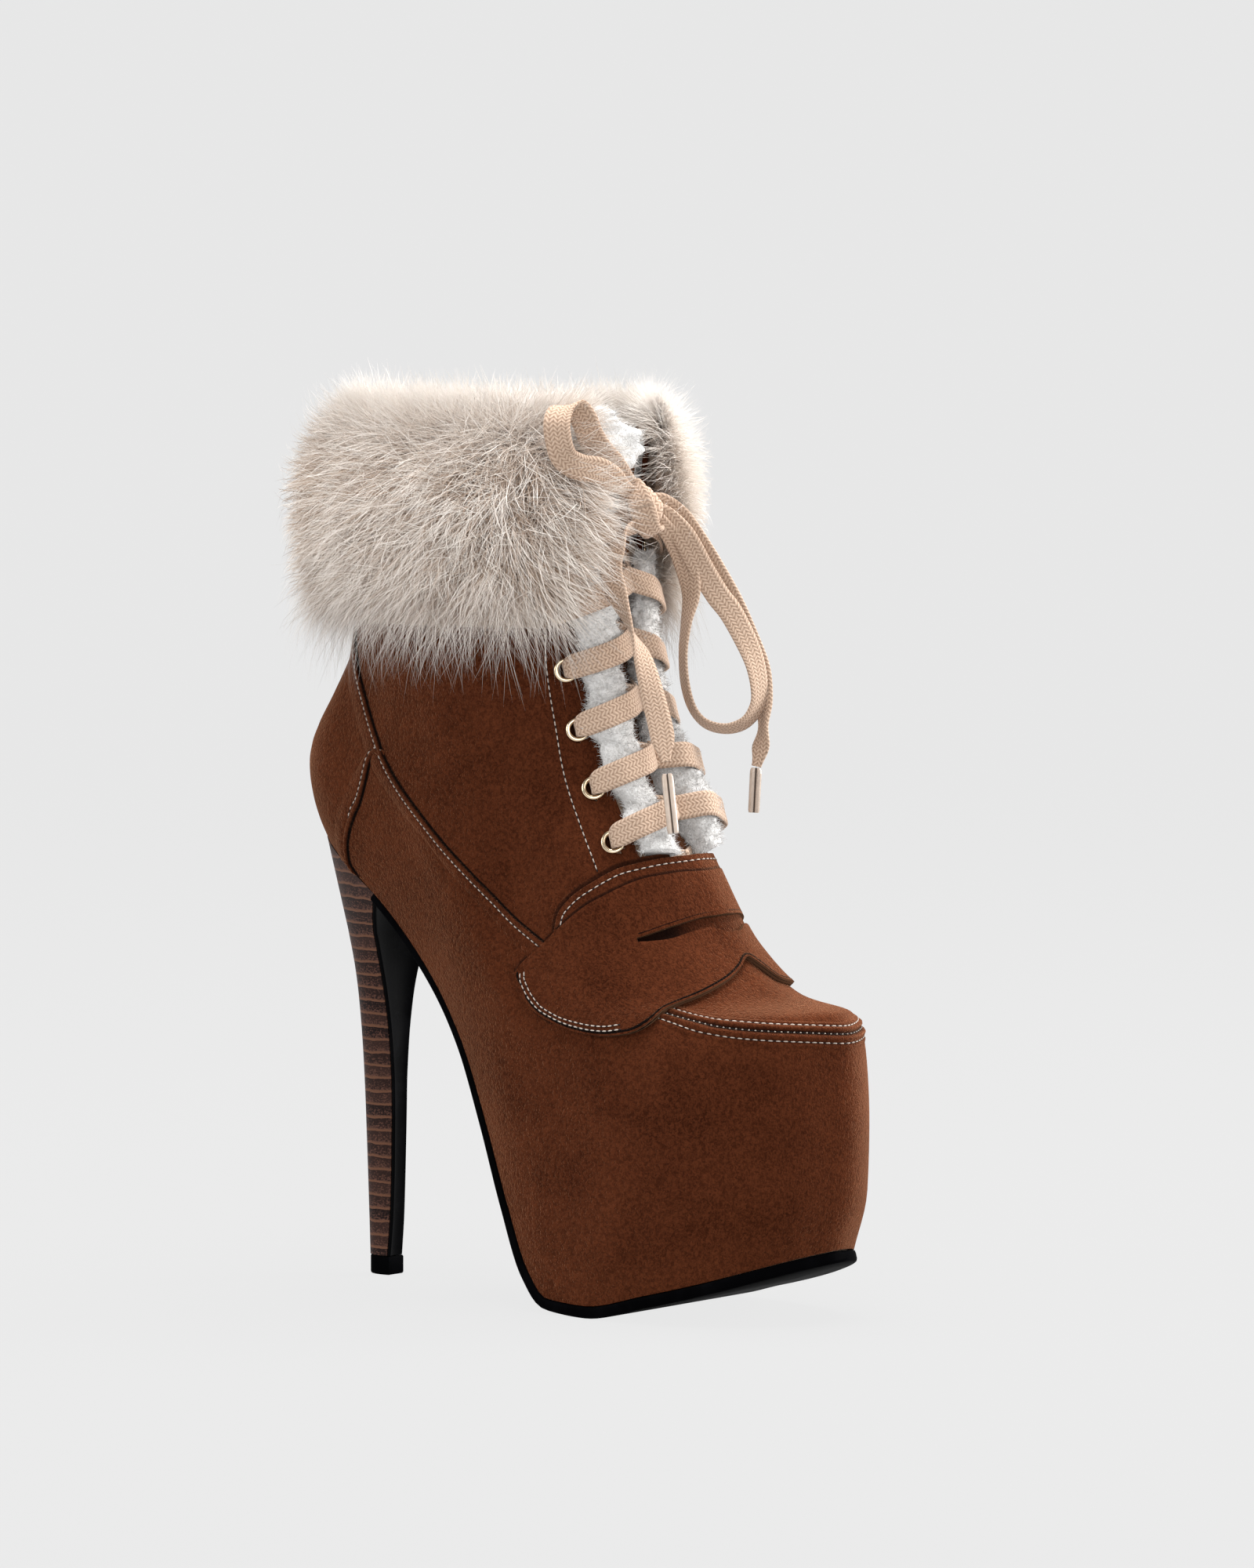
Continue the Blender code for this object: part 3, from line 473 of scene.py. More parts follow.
    def path(self, table: Table, spacing: float) -> Tuple[np.ndarray, np.ndarray, np.ndarray]:
        """Line drawn on the skin.

        Args:
            table: Bends as rows of u and v.
            spacing: Step along the line in millimetres.

        Returns:
            u and v of each sample, and the unit direction of the line there.
        """
        rows = np.asarray(table, float)
        bends = self.skin(rows[:, 0], rows[:, 1])
        reach = travel(bends)
        steps = np.linspace(0.0, reach[-1], self.samples_a_bend * len(rows))
        fine_u, fine_v = (Curve(reach, column).at(steps) for column in rows.T)
        length = travel(self.skin(fine_u, fine_v))
        at = even_steps(length[-1], spacing)
        u = np.interp(at, length, fine_u)
        v = np.interp(at, length, fine_v)
        return u, v, unit(np.gradient(self.skin(u, v), axis=0))


class NodeKit:
    """Short hand for building one node tree."""

    # Places of the Mix node's sockets for colours
    mix_inputs = (6, 7)
    mix_output = 2

    def __init__(self, tree: Tree) -> None:
        """Keep the tree."""
        self.tree = tree

    def put(self, socket: Socket, value: object) -> None:
        """Link another socket to an input, or set a constant on it."""
        if isinstance(value, bpy.types.NodeSocket):
            self.tree.links.new(value, socket)
        else:
            socket.default_value = value

    def feed(self, node: Node, **values: object) -> Node:
        """Set up a node.

        Args:
            node: The node.
            **values: What its inputs get, by their names with underscores for spaces, or its settings.

        Returns:
            The node.
        """
        sockets = {socket.name.replace(" ", "_"): socket for socket in reversed(list(node.inputs))}
        for key, value in values.items():
            if key in sockets:
                self.put(sockets[key], value)
            else:
                setattr(node, key, value)
        return node

    def add(self, kind: str, **values: object) -> Node:
        """New node of a type, set up as feed does it."""
        return self.feed(self.tree.nodes.new(kind), **values)

    def group(self, made: Tree, **values: object) -> Node:
        """Placed node group, set up as feed does it."""
        node = self.add("ShaderNodeGroup", node_tree=made)
        return self.feed(node, **values)

    def place(self) -> Socket:
        """Place on the object."""
        return self.add("ShaderNodeTexCoord").outputs["Object"]

    def math(self, operation: str, first: object, second: object = 0.0) -> Socket:
        """Result of a Math node on two sockets or numbers."""
        node = self.add("ShaderNodeMath", operation=operation)
        for socket, value in zip(node.inputs, (first, second)):
            self.put(socket, value)
        return node.outputs["Value"]

    def noise(self, vector: Socket, scale: object, detail: float = 2.0, **more: float) -> Socket:
        """Value of a noise texture."""
        node = self.add("ShaderNodeTexNoise", Vector=vector, Scale=scale, Detail=detail, **more)
        return node.outputs["Fac"]

    def ramp(self, value: Socket, *stops: Tuple[float, Colour]) -> Socket:
        """Colour ramp over a value."""
        node = self.add("ShaderNodeValToRGB", Fac=value)
        elements = node.color_ramp.elements
        while len(elements) < len(stops):
            elements.new(0.5)
        for element, (place, colour) in zip(elements, stops):
            element.position = place
            element.color = (*colour, 1.0)
        return node.outputs["Color"]

    def span(self, value: Socket, low: float, high: float, to: Pair = (0.0, 1.0)) -> Socket:
        """Value carried from one range to another."""
        ends = dict(From_Min=low, From_Max=high, To_Min=to[0], To_Max=to[1])
        return self.add("ShaderNodeMapRange", Value=value, **ends).outputs["Result"]

    def mix(self, factor: Socket, *colours: object) -> Socket:
        """Mix of two colours, each a socket or a colour."""
        node = self.add("ShaderNodeMix", data_type="RGBA")
        self.put(node.inputs[0], factor)
        for index, value in zip(self.mix_inputs, colours):
            self.put(node.inputs[index], (*value, 1.0) if isinstance(value, tuple) else value)
        return node.outputs[self.mix_output]

    def bump(self, height: Socket, strength: float, distance: float) -> Socket:
        """Normal from a height."""
        node = self.add("ShaderNodeBump", Height=height, Strength=strength, Distance=distance)
        return node.outputs["Normal"]


class Effects:
    """Node groups that several finishes share, each built once."""

    @staticmethod
    def _start(name: str, inputs: Sequence[str], outputs: Sequence[str]) -> Tuple[NodeKit, List[Socket]]:
        """New group.

        Args:
            name: Name of the group.
            inputs: Names of the numbers that it takes after a vector.
            outputs: Names of its results.
        """
        tree = bpy.data.node_groups.new(name, "ShaderNodeTree")
        tree.interface.new_socket(name="Vector", in_out="INPUT", socket_type="NodeSocketVector")
        for way, titles in (("INPUT", inputs), ("OUTPUT", outputs)):
            for title in titles:
                tree.interface.new_socket(name=title, in_out=way, socket_type="NodeSocketFloat")
        kit = NodeKit(tree)
        given = kit.add("NodeGroupInput")
        return kit, [given.outputs[title] for title in ("Vector", *inputs)]

    @staticmethod
    @lru_cache(maxsize=None)
    def nap() -> Tree:
        """Short brushed pile: a height for bump, a fine shade and broad brushed patches."""
        outputs = ("Height", "Fine", "Patch")
        kit, (place, pile, spread) = Effects._start("nap", ("Pile Scale", "Patch Scale"), outputs)
        fibre = kit.noise(place, pile, 2.0, Roughness=0.55, Distortion=1.4)
        turned = kit.add("ShaderNodeMapping", Vector=place, Rotation=(0.6, 0.5, 0.7), Scale=(1.0, 2.6, 1.0))
        coarse = kit.math("MULTIPLY", pile, 0.8)
        stroke = kit.noise(turned.outputs["Vector"], coarse, 1.0, Roughness=0.5, Distortion=0.8)
        patch = kit.noise(place, spread, 3.0, Roughness=0.55, Distortion=0.4)
        height = kit.math("ADD", fibre, kit.math("MULTIPLY", stroke, 0.7))
        fine = kit.span(height, 0.68, 1.02)
        kit.add("NodeGroupOutput", Height=height, Fine=fine, Patch=kit.span(patch, 0.35, 0.65))
        return kit.tree

    @staticmethod
    @lru_cache(maxsize=None)
    def weave() -> Tree:
        """Flat braid: columns of slanting yarns that lean left and right by turns, as height and shade."""
        kit, (place, yarns) = Effects._start("weave", ("Yarns",), ("Height", "Shade"))
        apart = kit.add("ShaderNodeSeparateXYZ", Vector=place)
        wobble = kit.math("SUBTRACT", kit.noise(place, 4.0), 0.5)
        columns = kit.math("MULTIPLY", apart.outputs["X"], yarns)
        columns = kit.math("ADD", columns, kit.math("MULTIPLY", wobble, 0.5))
        aside = kit.math("SUBTRACT", kit.math("FRACT", columns), 0.5)
        odd = kit.math("FLOORED_MODULO", kit.math("FLOOR", columns), 2.0)
        slant = kit.math("MULTIPLY", aside, kit.math("SUBTRACT", 0.9, kit.math("MULTIPLY", odd, 1.8)))
        phase = kit.math("ADD", kit.math("MULTIPLY", apart.outputs["Y"], yarns), slant)
        phase = kit.math("ADD", phase, kit.math("MULTIPLY", wobble, 0.6))
        turns = kit.math("MULTIPLY", phase, 2.0 * math.pi)
        wave = kit.span(kit.math("SINE", turns), -1.0, 1.0, (0.0, 0.65))
        bulge = kit.span(kit.math("MULTIPLY", aside, aside), 0.0, 0.25, (0.35, 0.0))
        height = kit.math("ADD", wave, bulge)
        speck = kit.span(kit.noise(place, 22.0), 0.3, 0.7, (0.85, 1.35))
        kit.add("NodeGroupOutput", Height=height, Shade=kit.math("MULTIPLY", height, speck))
        return kit.tree

    @staticmethod
    @lru_cache(maxsize=None)
    def grain() -> Tree:
        """Fine pits and faint scuffs of a moulded or cut surface."""
        kit, (place, scale) = Effects._start("grain", ("Scale",), ("Height", "Scuff"))
        pits = kit.noise(place, scale, 3.0, Roughness=0.6)
        broad = kit.math("MULTIPLY", scale, 0.08)
        scuff = kit.noise(place, broad, 4.0, Roughness=0.65, Distortion=0.5)
        kit.add("NodeGroupOutput", Height=pits, Scuff=kit.span(scuff, 0.45, 0.75))
        return kit.tree

    @staticmethod
    def grained(kit: NodeKit, scale: float) -> Tuple[Socket, Socket]:
        """Height and scuffs of the grain on an object."""
        node = kit.group(Effects.grain(), Vector=kit.place(), Scale=scale)
        return node.outputs["Height"], node.outputs["Scuff"]


def scaled(colour: Colour, factor: float) -> Colour:
    """Colour made darker or lighter."""
    return tuple(channel * factor for channel in colour)


@dataclass(frozen=True)
class Finish:
    """Base of every finish: a named Principled material."""

    name: str
    slot: str

    def material(self) -> bpy.types.Material:
        """The finish's material, made on first use."""
        found = bpy.data.materials.get(self.name)
        if found is None:
            found = bpy.data.materials.new(self.name)
            found.use_nodes = True
            kit = NodeKit(found.node_tree)
            kit.feed(found.node_tree.nodes["Principled BSDF"], **self.look(kit))
        return found

    def look(self, kit: NodeKit) -> Look:
        """Build the nodes; each finish has its own and gives what the shader's inputs get."""
        raise NotImplementedError


@dataclass(frozen=True)
class Suede(Finish):
    """Brushed faux suede, with dark edge ink and painted shade where the mesh carries them."""

    dark: Colour = (0.033, 0.0078, 0.0027)
    light: Colour = (0.096, 0.0262, 0.0101)
    # Colour of the dark edge ink and of the painted shade that strips lay beside edges and in seam grooves
    edge: Colour = (0.0035, 0.0022, 0.0020)
    pile_scale: float = 900.0
    patch_scale: float = 34.0
    fine_share: float = 0.68
    patch_share: float = 0.32

    def look(self, kit: NodeKit) -> Look:
        """Nap in colour and bump, brushed patches, dark edge ink and painted shade."""
        scales = dict(Pile_Scale=self.pile_scale, Patch_Scale=self.patch_scale)
        nap = kit.group(Effects.nap(), Vector=kit.place(), **scales).outputs
        fine = kit.math("MULTIPLY", nap["Fine"], self.fine_share)
        tone = kit.math("ADD", fine, kit.math("MULTIPLY", nap["Patch"], self.patch_share))
        # Painted shade and dark edge ink, by each vertex's share
        paint = kit.add("ShaderNodeAttribute", attribute_name="edge_paint").outputs["Fac"]
        return dict(
            Base_Color=kit.mix(paint, kit.mix(tone, self.dark, self.light), self.edge),
            Normal=kit.bump(nap["Height"], 0.85, 0.0006),
            Roughness=0.95,
            Sheen_Weight=0.42,
            Sheen_Roughness=0.30,
            Sheen_Tint=(1.0, 0.50, 0.28, 1.0),
            Specular_IOR_Level=0.03,
        )


@dataclass(frozen=True)
class CutEdge(Finish):
    """Raw or painted cut edge of the strap."""

    colour: Colour = (0.16, 0.085, 0.045)
    deep: float = 0.65

    def look(self, kit: NodeKit) -> Look:
        """Fibrous colour along the edge."""
        height, _ = Effects.grained(kit, 1400.0)
        colour = kit.mix(height, scaled(self.colour, self.deep), self.colour)
        normal = kit.bump(height, 0.4, 0.0002)
        return dict(Base_Color=colour, Normal=normal, Roughness=0.9, Specular_IOR_Level=0.1, IOR=1.04)


@dataclass(frozen=True)
class Thread(Finish):
    """Sewing thread with a fine twist."""

    colour: Colour = (0.56, 0.49, 0.43)
    deep: float = 0.62

    def look(self, kit: NodeKit) -> Look:
        """Twist lines in colour and bump."""
        twist = kit.noise(kit.place(), 3200.0, 1.0)
        colour = kit.mix(twist, scaled(self.colour, self.deep), self.colour)
        normal = kit.bump(twist, 0.3, 0.0001)
        return dict(Base_Color=colour, Normal=normal, Roughness=0.7, Specular_IOR_Level=0.3)


@dataclass(frozen=True)
class Fur(Finish):
    """Long faux fur: dark roots, beige lengths, pale tips, greyer toward the hem, and painted light that
    whitens it at the top.
    """

    root: Colour = (0.13, 0.080, 0.050)
    length: Colour = (0.445, 0.330, 0.248)
    tip: Colour = (0.87, 0.81, 0.75)
    hem: Colour = (0.40, 0.362, 0.338)
    # Painted light: colour that the hair whitens toward at the top of the cuff, where the light from above
    # falls
    crown: Colour = (0.80, 0.755, 0.71)
    hem_heights: Pair = (0.222, 0.250)
    crown_heights: Pair = (0.286, 0.318)

    def look(self, kit: NodeKit) -> Look:
        """Colour by the place along each hair, its own chance value and its height on the cuff, with painted
        light near the top.
        """
        inputs = kit.add("ShaderNodeTexCoord").outputs
        apart = kit.add("ShaderNodeSeparateXYZ", Vector=inputs["UV"])
        chance, along = apart.outputs["X"], apart.outputs["Y"]
        height = kit.add("ShaderNodeSeparateXYZ", Vector=inputs["Object"]).outputs["Z"]
        shifted = kit.math("ADD", along, kit.span(chance, 0.0, 1.0, (-0.40, 0.40)))
        stops = ((0.0, self.root), (0.40, self.length), (0.62, self.length), (0.95, self.tip))
        low = kit.span(height, *self.hem_heights, (0.62, 0.0))
        colour = kit.mix(low, kit.ramp(shifted, *stops), self.hem)
        # Painted light: whiter toward the top of the cuff
        colour = kit.mix(kit.span(height, *self.crown_heights, (0.0, 0.80)), colour, self.crown)
        sheen = dict(Sheen_Weight=0.15, Sheen_Roughness=0.4)
        return dict(Base_Color=colour, Roughness=0.55, Specular_IOR_Level=0.35, **sheen)


@dataclass(frozen=True)
class Fleece(Finish):
    """Off-white curly fleece."""

    light: Colour = (0.72, 0.712, 0.705)
    deep: Colour = (0.50, 0.488, 0.476)

    def look(self, kit: NodeKit) -> Look:
        """Curls in colour and bump."""
        curl = kit.noise(kit.place(), 620.0, 3.0, Distortion=1.8)
        return dict(
            Base_Color=kit.ramp(curl, (0.30, self.deep), (0.62, self.light)),
            Normal=kit.bump(curl, 0.7, 0.0009),
            Roughness=1.0,
            Sheen_Weight=0.3,
            Sheen_Roughness=0.5,
            Specular_IOR_Level=0.1,
            IOR=1.1,
        )


@dataclass(frozen=True)
class WovenLace(Finish):
    """Flat woven cotton lace."""

    pit: Colour = (0.245, 0.155, 0.102)
    yarn: Colour = (0.57, 0.418, 0.316)
    yarns: float = 5.6

    def look(self, kit: NodeKit) -> Look:
        """Braid in colour and bump, on the lace's own lengthways and crossways coordinates."""
        place = kit.add("ShaderNodeTexCoord").outputs["UV"]
        weave = kit.group(Effects.weave(), Vector=place, Yarns=self.yarns).outputs
        return dict(
            Base_Color=kit.mix(weave["Shade"], self.pit, self.yarn),
            Normal=kit.bump(weave["Height"], 0.55, 0.00035),
            Roughness=0.85,
            Sheen_Weight=0.12,
            Specular_IOR_Level=0.2,
        )


@dataclass(frozen=True)
class ClearTag(Finish):
    """Clear film shrunk over the end of a lace."""

    colour: Colour = (0.36, 0.285, 0.23)
    # Painted shade in the fold down the middle of the tag
    crease: Colour = (0.085, 0.060, 0.045)
    pale: float = 1.5

    def look(self, kit: NodeKit) -> Look:
        """Folded lace under a glossy film, with painted shade as a dark line down the middle, in the fold."""
        inputs = kit.add("ShaderNodeTexCoord").outputs
        fold = kit.noise(inputs["Object"], 420.0)
        across = kit.add("ShaderNodeSeparateXYZ", Vector=inputs["UV"]).outputs["X"]
        away = kit.math("ABSOLUTE", kit.math("SUBTRACT", across, 0.5))
        colour = kit.mix(fold, self.colour, scaled(self.colour, self.pale))
        return dict(
            Base_Color=kit.mix(kit.span(away, 0.02, 0.06, (1.0, 0.0)), colour, self.crease),
            Normal=kit.bump(fold, 0.3, 0.0003),
            Roughness=0.4,
            Coat_Weight=0.8,
            Coat_Roughness=0.12,
        )


@dataclass(frozen=True)
class Metal(Finish):
    """Light gold plate with faint wear."""

    colour: Colour = (0.82, 0.66, 0.46)
    worn: float = 0.75

    def look(self, kit: NodeKit) -> Look:
        """Plate with small changes of gloss."""
        _, scuff = Effects.grained(kit, 900.0)
        colour = kit.mix(scuff, self.colour, scaled(self.colour, self.worn))
        return dict(Base_Color=colour, Roughness=kit.span(scuff, 0.0, 1.0, (0.16, 0.34)), Metallic=1.0)


@dataclass(frozen=True)
class BlackSole(Finish):
    """Black moulded sole, satin or glossy."""

    colour: Colour = (0.0013, 0.0013, 0.0016)
    worn: float = 2.2
    roughness: float = 0.42
    rougher: float = 0.12
    specular: float = 0.25
    refraction: float = 1.03

    def look(self, kit: NodeKit) -> Look:
        """Fine pits and scuffs."""
        height, scuff = Effects.grained(kit, 700.0)
        return dict(
            Base_Color=kit.mix(scuff, self.colour, scaled(self.colour, self.worn)),
            Roughness=kit.span(scuff, 0.0, 1.0, (self.roughness, self.roughness + self.rougher)),
            Normal=kit.bump(height, 0.10, 0.0001),
            Specular_IOR_Level=self.specular,
            IOR=self.refraction,
        )


@dataclass(frozen=True)
class StackedHeel(Finish):
    """Printed look of thin stacked layers: dark speckled bands between pale lines."""

    line: Colour = (0.130, 0.058, 0.034)
    band: Colour = (0.0095, 0.0041, 0.0038)
    speck: Colour = (0.088, 0.040, 0.029)
    layer: float = 0.0047
    wander: float = 0.0016

    def look(self, kit: NodeKit) -> Look:
        """Bands across the heel's height with wavy lines and short flecks."""
        place = kit.place()
        height = kit.add("ShaderNodeSeparateXYZ", Vector=place).outputs["Z"]
        wander = kit.math("MULTIPLY", kit.math("SUBTRACT", kit.noise(place, 160.0), 0.5), self.wander)
        layers = kit.math("DIVIDE", kit.math("ADD", height, wander), self.layer)
        part = kit.math("FRACT", layers)
        rank = kit.math("FLOOR", layers)
        stretched = kit.add("ShaderNodeMapping", Vector=place, Scale=(1.0, 1.0, 1.5))
        fleck = kit.noise(stretched.outputs["Vector"], 1150.0, 3.0, Roughness=0.7)
        dust = kit.math("SUBTRACT", fleck, kit.math("MULTIPLY", part, 0.16))
        body = kit.ramp(dust, (0.41, self.band), (0.52, self.speck))
        pale = kit.add("ShaderNodeTexWhiteNoise", noise_dimensions="1D", W=rank).outputs["Value"]
        body = kit.mix(kit.math("MULTIPLY", pale, 0.3), body, self.speck)
        start, stop = kit.span(part, 0.0, 0.10, (1.0, 0.9)), kit.span(part, 0.13, 0.24, (1.0, 0.0))
        edge = kit.math("MULTIPLY", start, stop)
        relief = kit.math("ADD", kit.math("MULTIPLY", edge, 0.6), kit.math("MULTIPLY", fleck, 0.5))
        colour, normal = kit.mix(edge, body, self.line), kit.bump(relief, 0.35, 0.0002)
        return dict(Base_Color=colour, Normal=normal, Roughness=0.5, Specular_IOR_Level=0.4, IOR=1.2)


@dataclass(frozen=True)
class Foam(Finish):
    """Light platform core, hidden under the foot bed."""

    colour: Colour = (0.30, 0.22, 0.16)
    deep: float = 0.7

    def look(self, kit: NodeKit) -> Look:
        """Cells of the foam."""
        height, _ = Effects.grained(kit, 500.0)
        return dict(Base_Color=kit.mix(height, scaled(self.colour, self.deep), self.colour), Roughness=0.9)


@dataclass(frozen=True)
class Paper(Finish):
    """Plain pale floor and backdrop, lit evenly from within."""

    colour: Colour = (0.015, 0.015, 0.015)
    glow: float = 0.79

    def look(self, kit: NodeKit) -> Look:
        """Even matt surface."""
        light = dict(Emission_Color=(1.0, 1.0, 1.0, 1.0), Emission_Strength=self.glow)
        return dict(Base_Color=(*self.colour, 1.0), Roughness=1.0, Specular_IOR_Level=0.0, **light)


SUEDE = Suede("boot_suede", "suede")
TONGUE_SUEDE = Suede(
    "tongue_nap",
    "tongue_suede",
    dark=(0.040, 0.0115, 0.0048),
    light=(0.092, 0.031, 0.014),
)
STRAP_RIM = CutEdge("strap_cut_edge", "suede", colour=(0.115, 0.058, 0.032))
STRAP_INK = CutEdge("strap_edge_ink", "suede", colour=(0.006, 0.0045, 0.0045))
# Dark brown on the strap's upper edges: partly the edge's own colour, partly painted shade where the strap
# meets the flap
STRAP_SHADED_EDGE = CutEdge("strap_edge_brown", "suede", colour=(0.016, 0.0065, 0.0036))
PALE_THREAD = Thread("pale_thread", "suede")
# Painted shade: near-black short stitches sunk between the pale ones, for the shade in the stitch holes
STITCH_HOLE_SHADE = Thread("dark_thread", "suede", colour=(0.010, 0.006, 0.005))
FUR = Fur("cuff_fur", "fur")
FUR_BACKING = Fleece("cuff_backing", "fur", light=(0.40, 0.30, 0.22), deep=(0.17, 0.115, 0.08))
FLEECE = Fleece("throat_fleece", "fleece")
PILE = Fleece("lining_pile", "insole_pile")
LACE = WovenLace("woven_lace", "lace")
TAG = ClearTag("lace_tag_film", "lace_tag")
METAL = Metal("eyelet_plate", "eyelet_metal")
RUBBER = BlackSole("sole_black", "black_rubber")
GLOSS = BlackSole("black_breast", "black_gloss", roughness=0.26, refraction=1.12)
HEEL_STACK = StackedHeel("heel_layers", "stacked_heel")
CORE = Foam("platform_foam", "platform_core")
PAPER = Paper("pale_paper", "")


def tube_faces(count: int, around: int, wrap: bool = False) -> List[Tuple[int, ...]]:
    """Faces of a body through rings of points.

    Args:
        count: Number of rings.
        around: Points of a ring.
        wrap: Whether the last ring joins the first; if not, a face closes each end.

    Returns:
        Point numbers of every face, those of the ends last.
    """
    faces: List[Tuple[int, ...]] = []
    for k in range(count if wrap else count - 1):
        low, high = k * around, (k + 1) % count * around
        for i in range(around):
            n = (i + 1) % around
            faces.append((low + i, low + n, high + n, high + i))
    if not wrap:
        faces.append(tuple(reversed(range(around))))
        faces.append(tuple(range((count - 1) * around, count * around)))
    return faces


class Bench:
    """Makes meshes on the frame and finishes them as pieces."""

    weld_gap = 0.00001
    tip_taper = 0.25

    def __init__(self) -> None:
        """Find the middle of the heel tip in the frame."""
        low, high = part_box("top_lift")
        self.origin = np.array((high.x - TOP_LIFT_FRONT * MM, 0.5 * (low.y + high.y), low.z))
        self.triangles = 0

    def place(self, points: np.ndarray) -> np.ndarray:
        """Points of the boot's own datum, in metres of the frame."""
        return np.asarray(points, float) * MM + self.origin

    @staticmethod
    def only(*pieces: Piece) -> None:
        """Select these objects alone and make the first one active."""
        bpy.ops.object.select_all(action="DESELECT")
        for piece in pieces:
            piece.select_set(True)
        bpy.context.view_layer.objects.active = pieces[0]

    @staticmethod
    def link(name: str, mesh: bpy.types.Mesh) -> Piece:
        """New object of a mesh, in the scene."""
        piece = bpy.data.objects.new(name, mesh)
        bpy.context.scene.collection.objects.link(piece)
        return piece

    @staticmethod
    def corners(mesh: bpy.types.Mesh) -> np.ndarray:
        """Vertex number of every face corner."""
        numbers = np.empty(len(mesh.loops), int)
        mesh.loops.foreach_get("vertex_index", numbers)
        return numbers

    def grid(self, name: str, columns: int, rows: int) -> Tuple[Piece, np.ndarray, np.ndarray]:
        """Flat grid that is then bent to shape.

        Args:
            name: Name of the piece.
            columns: Cells along the first way.
            rows: Cells along the second way.

        Returns:
            The object, and the column and row number of each vertex.
        """
        bpy.ops.object.select_all(action="DESELECT")
        bpy.ops.mesh.primitive_grid_add(x_subdivisions=columns, y_subdivisions=rows, size=1.0)
        piece = bpy.context.object
        piece.name = name
        piece.data.name = name
        flat = np.empty(len(piece.data.vertices) * 3)
        piece.data.vertices.foreach_get("co", flat)
        flat = flat.reshape(-1, 3)
        i = np.round((flat[:, 0] + 0.5) * columns).astype(int)
        j = np.round((flat[:, 1] + 0.5) * rows).astype(int)
        return piece, i, j

    def bend(self, piece: Piece, points: np.ndarray) -> None:
        """Move a piece's vertices to points of the boot's own datum."""
        piece.data.vertices.foreach_set("co", self.place(points).ravel())
        piece.data.update()

    @staticmethod
    def paint(piece: Piece, shares: np.ndarray) -> None:
        """Give each vertex its share of dark edge ink and painted shade."""
        layer = piece.data.attributes.new("edge_paint", "FLOAT", "POINT")
        layer.data.foreach_set("value", shares.astype(np.float32))

    @staticmethod
    def dress(piece: Piece, finishes: Sequence[Finish]) -> None:
        """Add a material slot for each finish that the piece doesn't have yet."""
        for finish in finishes[len(piece.data.materials):]:
            piece.data.materials.append(finish.material())

    def trim(self, piece: Piece, drop: np.ndarray) -> None:
        """Delete the marked faces of a piece."""
        self.only(piece)
        piece.data.vertices.foreach_set("select", np.zeros(len(piece.data.vertices), bool))
        piece.data.edges.foreach_set("select", np.zeros(len(piece.data.edges), bool))
        piece.data.polygons.foreach_set("select", drop)
        bpy.ops.object.mode_set(mode="EDIT")
        bpy.ops.mesh.select_mode(type="FACE")
        bpy.ops.mesh.delete(type="FACE")
        bpy.ops.object.mode_set(mode="OBJECT")

    def weld(self, piece: Piece, outward: bool = False) -> None:
        """Merge vertices that meet and, on a closed piece, turn its faces outward."""
        self.only(piece)
        bpy.ops.object.mode_set(mode="EDIT")
        bpy.ops.mesh.select_all(action="SELECT")
        bpy.ops.mesh.remove_doubles(threshold=self.weld_gap)
        if outward:
            bpy.ops.mesh.normals_make_consistent(inside=False)
        bpy.ops.object.mode_set(mode="OBJECT")

    def thicken(self, piece: Piece, thickness: float, outward: bool, lining: int = 0, rim: int = 0) -> None:
        """Give a sheet a wall.

        Args:
            piece: The sheet.
            thickness: Wall in millimetres.
            outward: Whether the wall grows away from the boot.
            lining: Material offset of the far face.
            rim: Material offset of the edge.
        """
        self.only(piece)
        wall = piece.modifiers.new("wall", "SOLIDIFY")
        wall.thickness = thickness * MM
        wall.offset = 1.0 if outward else -1.0
        wall.use_quality_normals = True
        wall.material_offset = lining
        wall.material_offset_rim = rim
        bpy.ops.object.modifier_apply(modifier=wall.name)

    def round_edges(self, piece: Piece, width: float, angle: float = SHARP, material: int = -1) -> None:
        """Round the sharp edges of a piece.

        Args:
            piece: The piece.
            width: Width of the rounding in millimetres.
            angle: Edges sharper than this are rounded.
            material: Material slot of the rounding, or -1 for that of its neighbours.
        """
        self.only(piece)
        edge = piece.modifiers.new("round", "BEVEL")
        edge.width = width * MM
        edge.segments = 2
        edge.limit_method = "ANGLE"
        edge.angle_limit = math.radians(angle)
        edge.material = material
        edge.use_clamp_overlap = True
        bpy.ops.object.modifier_apply(modifier=edge.name)

    def body(
        self,
        name: str,
        points: np.ndarray,
        faces: Sequence[Tuple[int, ...]],
        uv: Optional[np.ndarray] = None,
    ) -> Piece:
        """Closed body from its faces.

        Args:
            name: Name of the piece.
            points: Points of the boot's own datum.
            faces: Point numbers of each face.
            uv: Coordinates of each point for the finish.

        Returns:
            The object, with its faces turned outward.
        """
        mesh = bpy.data.meshes.new(name)
        mesh.from_pydata(self.place(points.reshape(-1, 3)).tolist(), [], faces)
        if uv is not None:
            layer = mesh.uv_layers.new(name="UVMap")
            layer.data.foreach_set("uv", uv.reshape(-1, 2)[self.corners(mesh)].ravel())
        piece = self.link(name, mesh)
        self.weld(piece, outward=True)
        return piece

    def solid(
        self,
        name: str,
        rings: np.ndarray,
        wrap: bool = False,
        uv: Optional[np.ndarray] = None,
    ) -> Piece:
        """Closed body through rings of points.

        Args:
            name: Name of the piece.
            rings: Points as ring, place round the ring, axis.
            wrap: Whether the last ring joins the first, as in a closed loop of ribbon.
            uv: Coordinates of each point for the finish.

        Returns:
            The object.
        """
        return self.body(name, rings, tube_faces(*rings.shape[:2], wrap), uv)

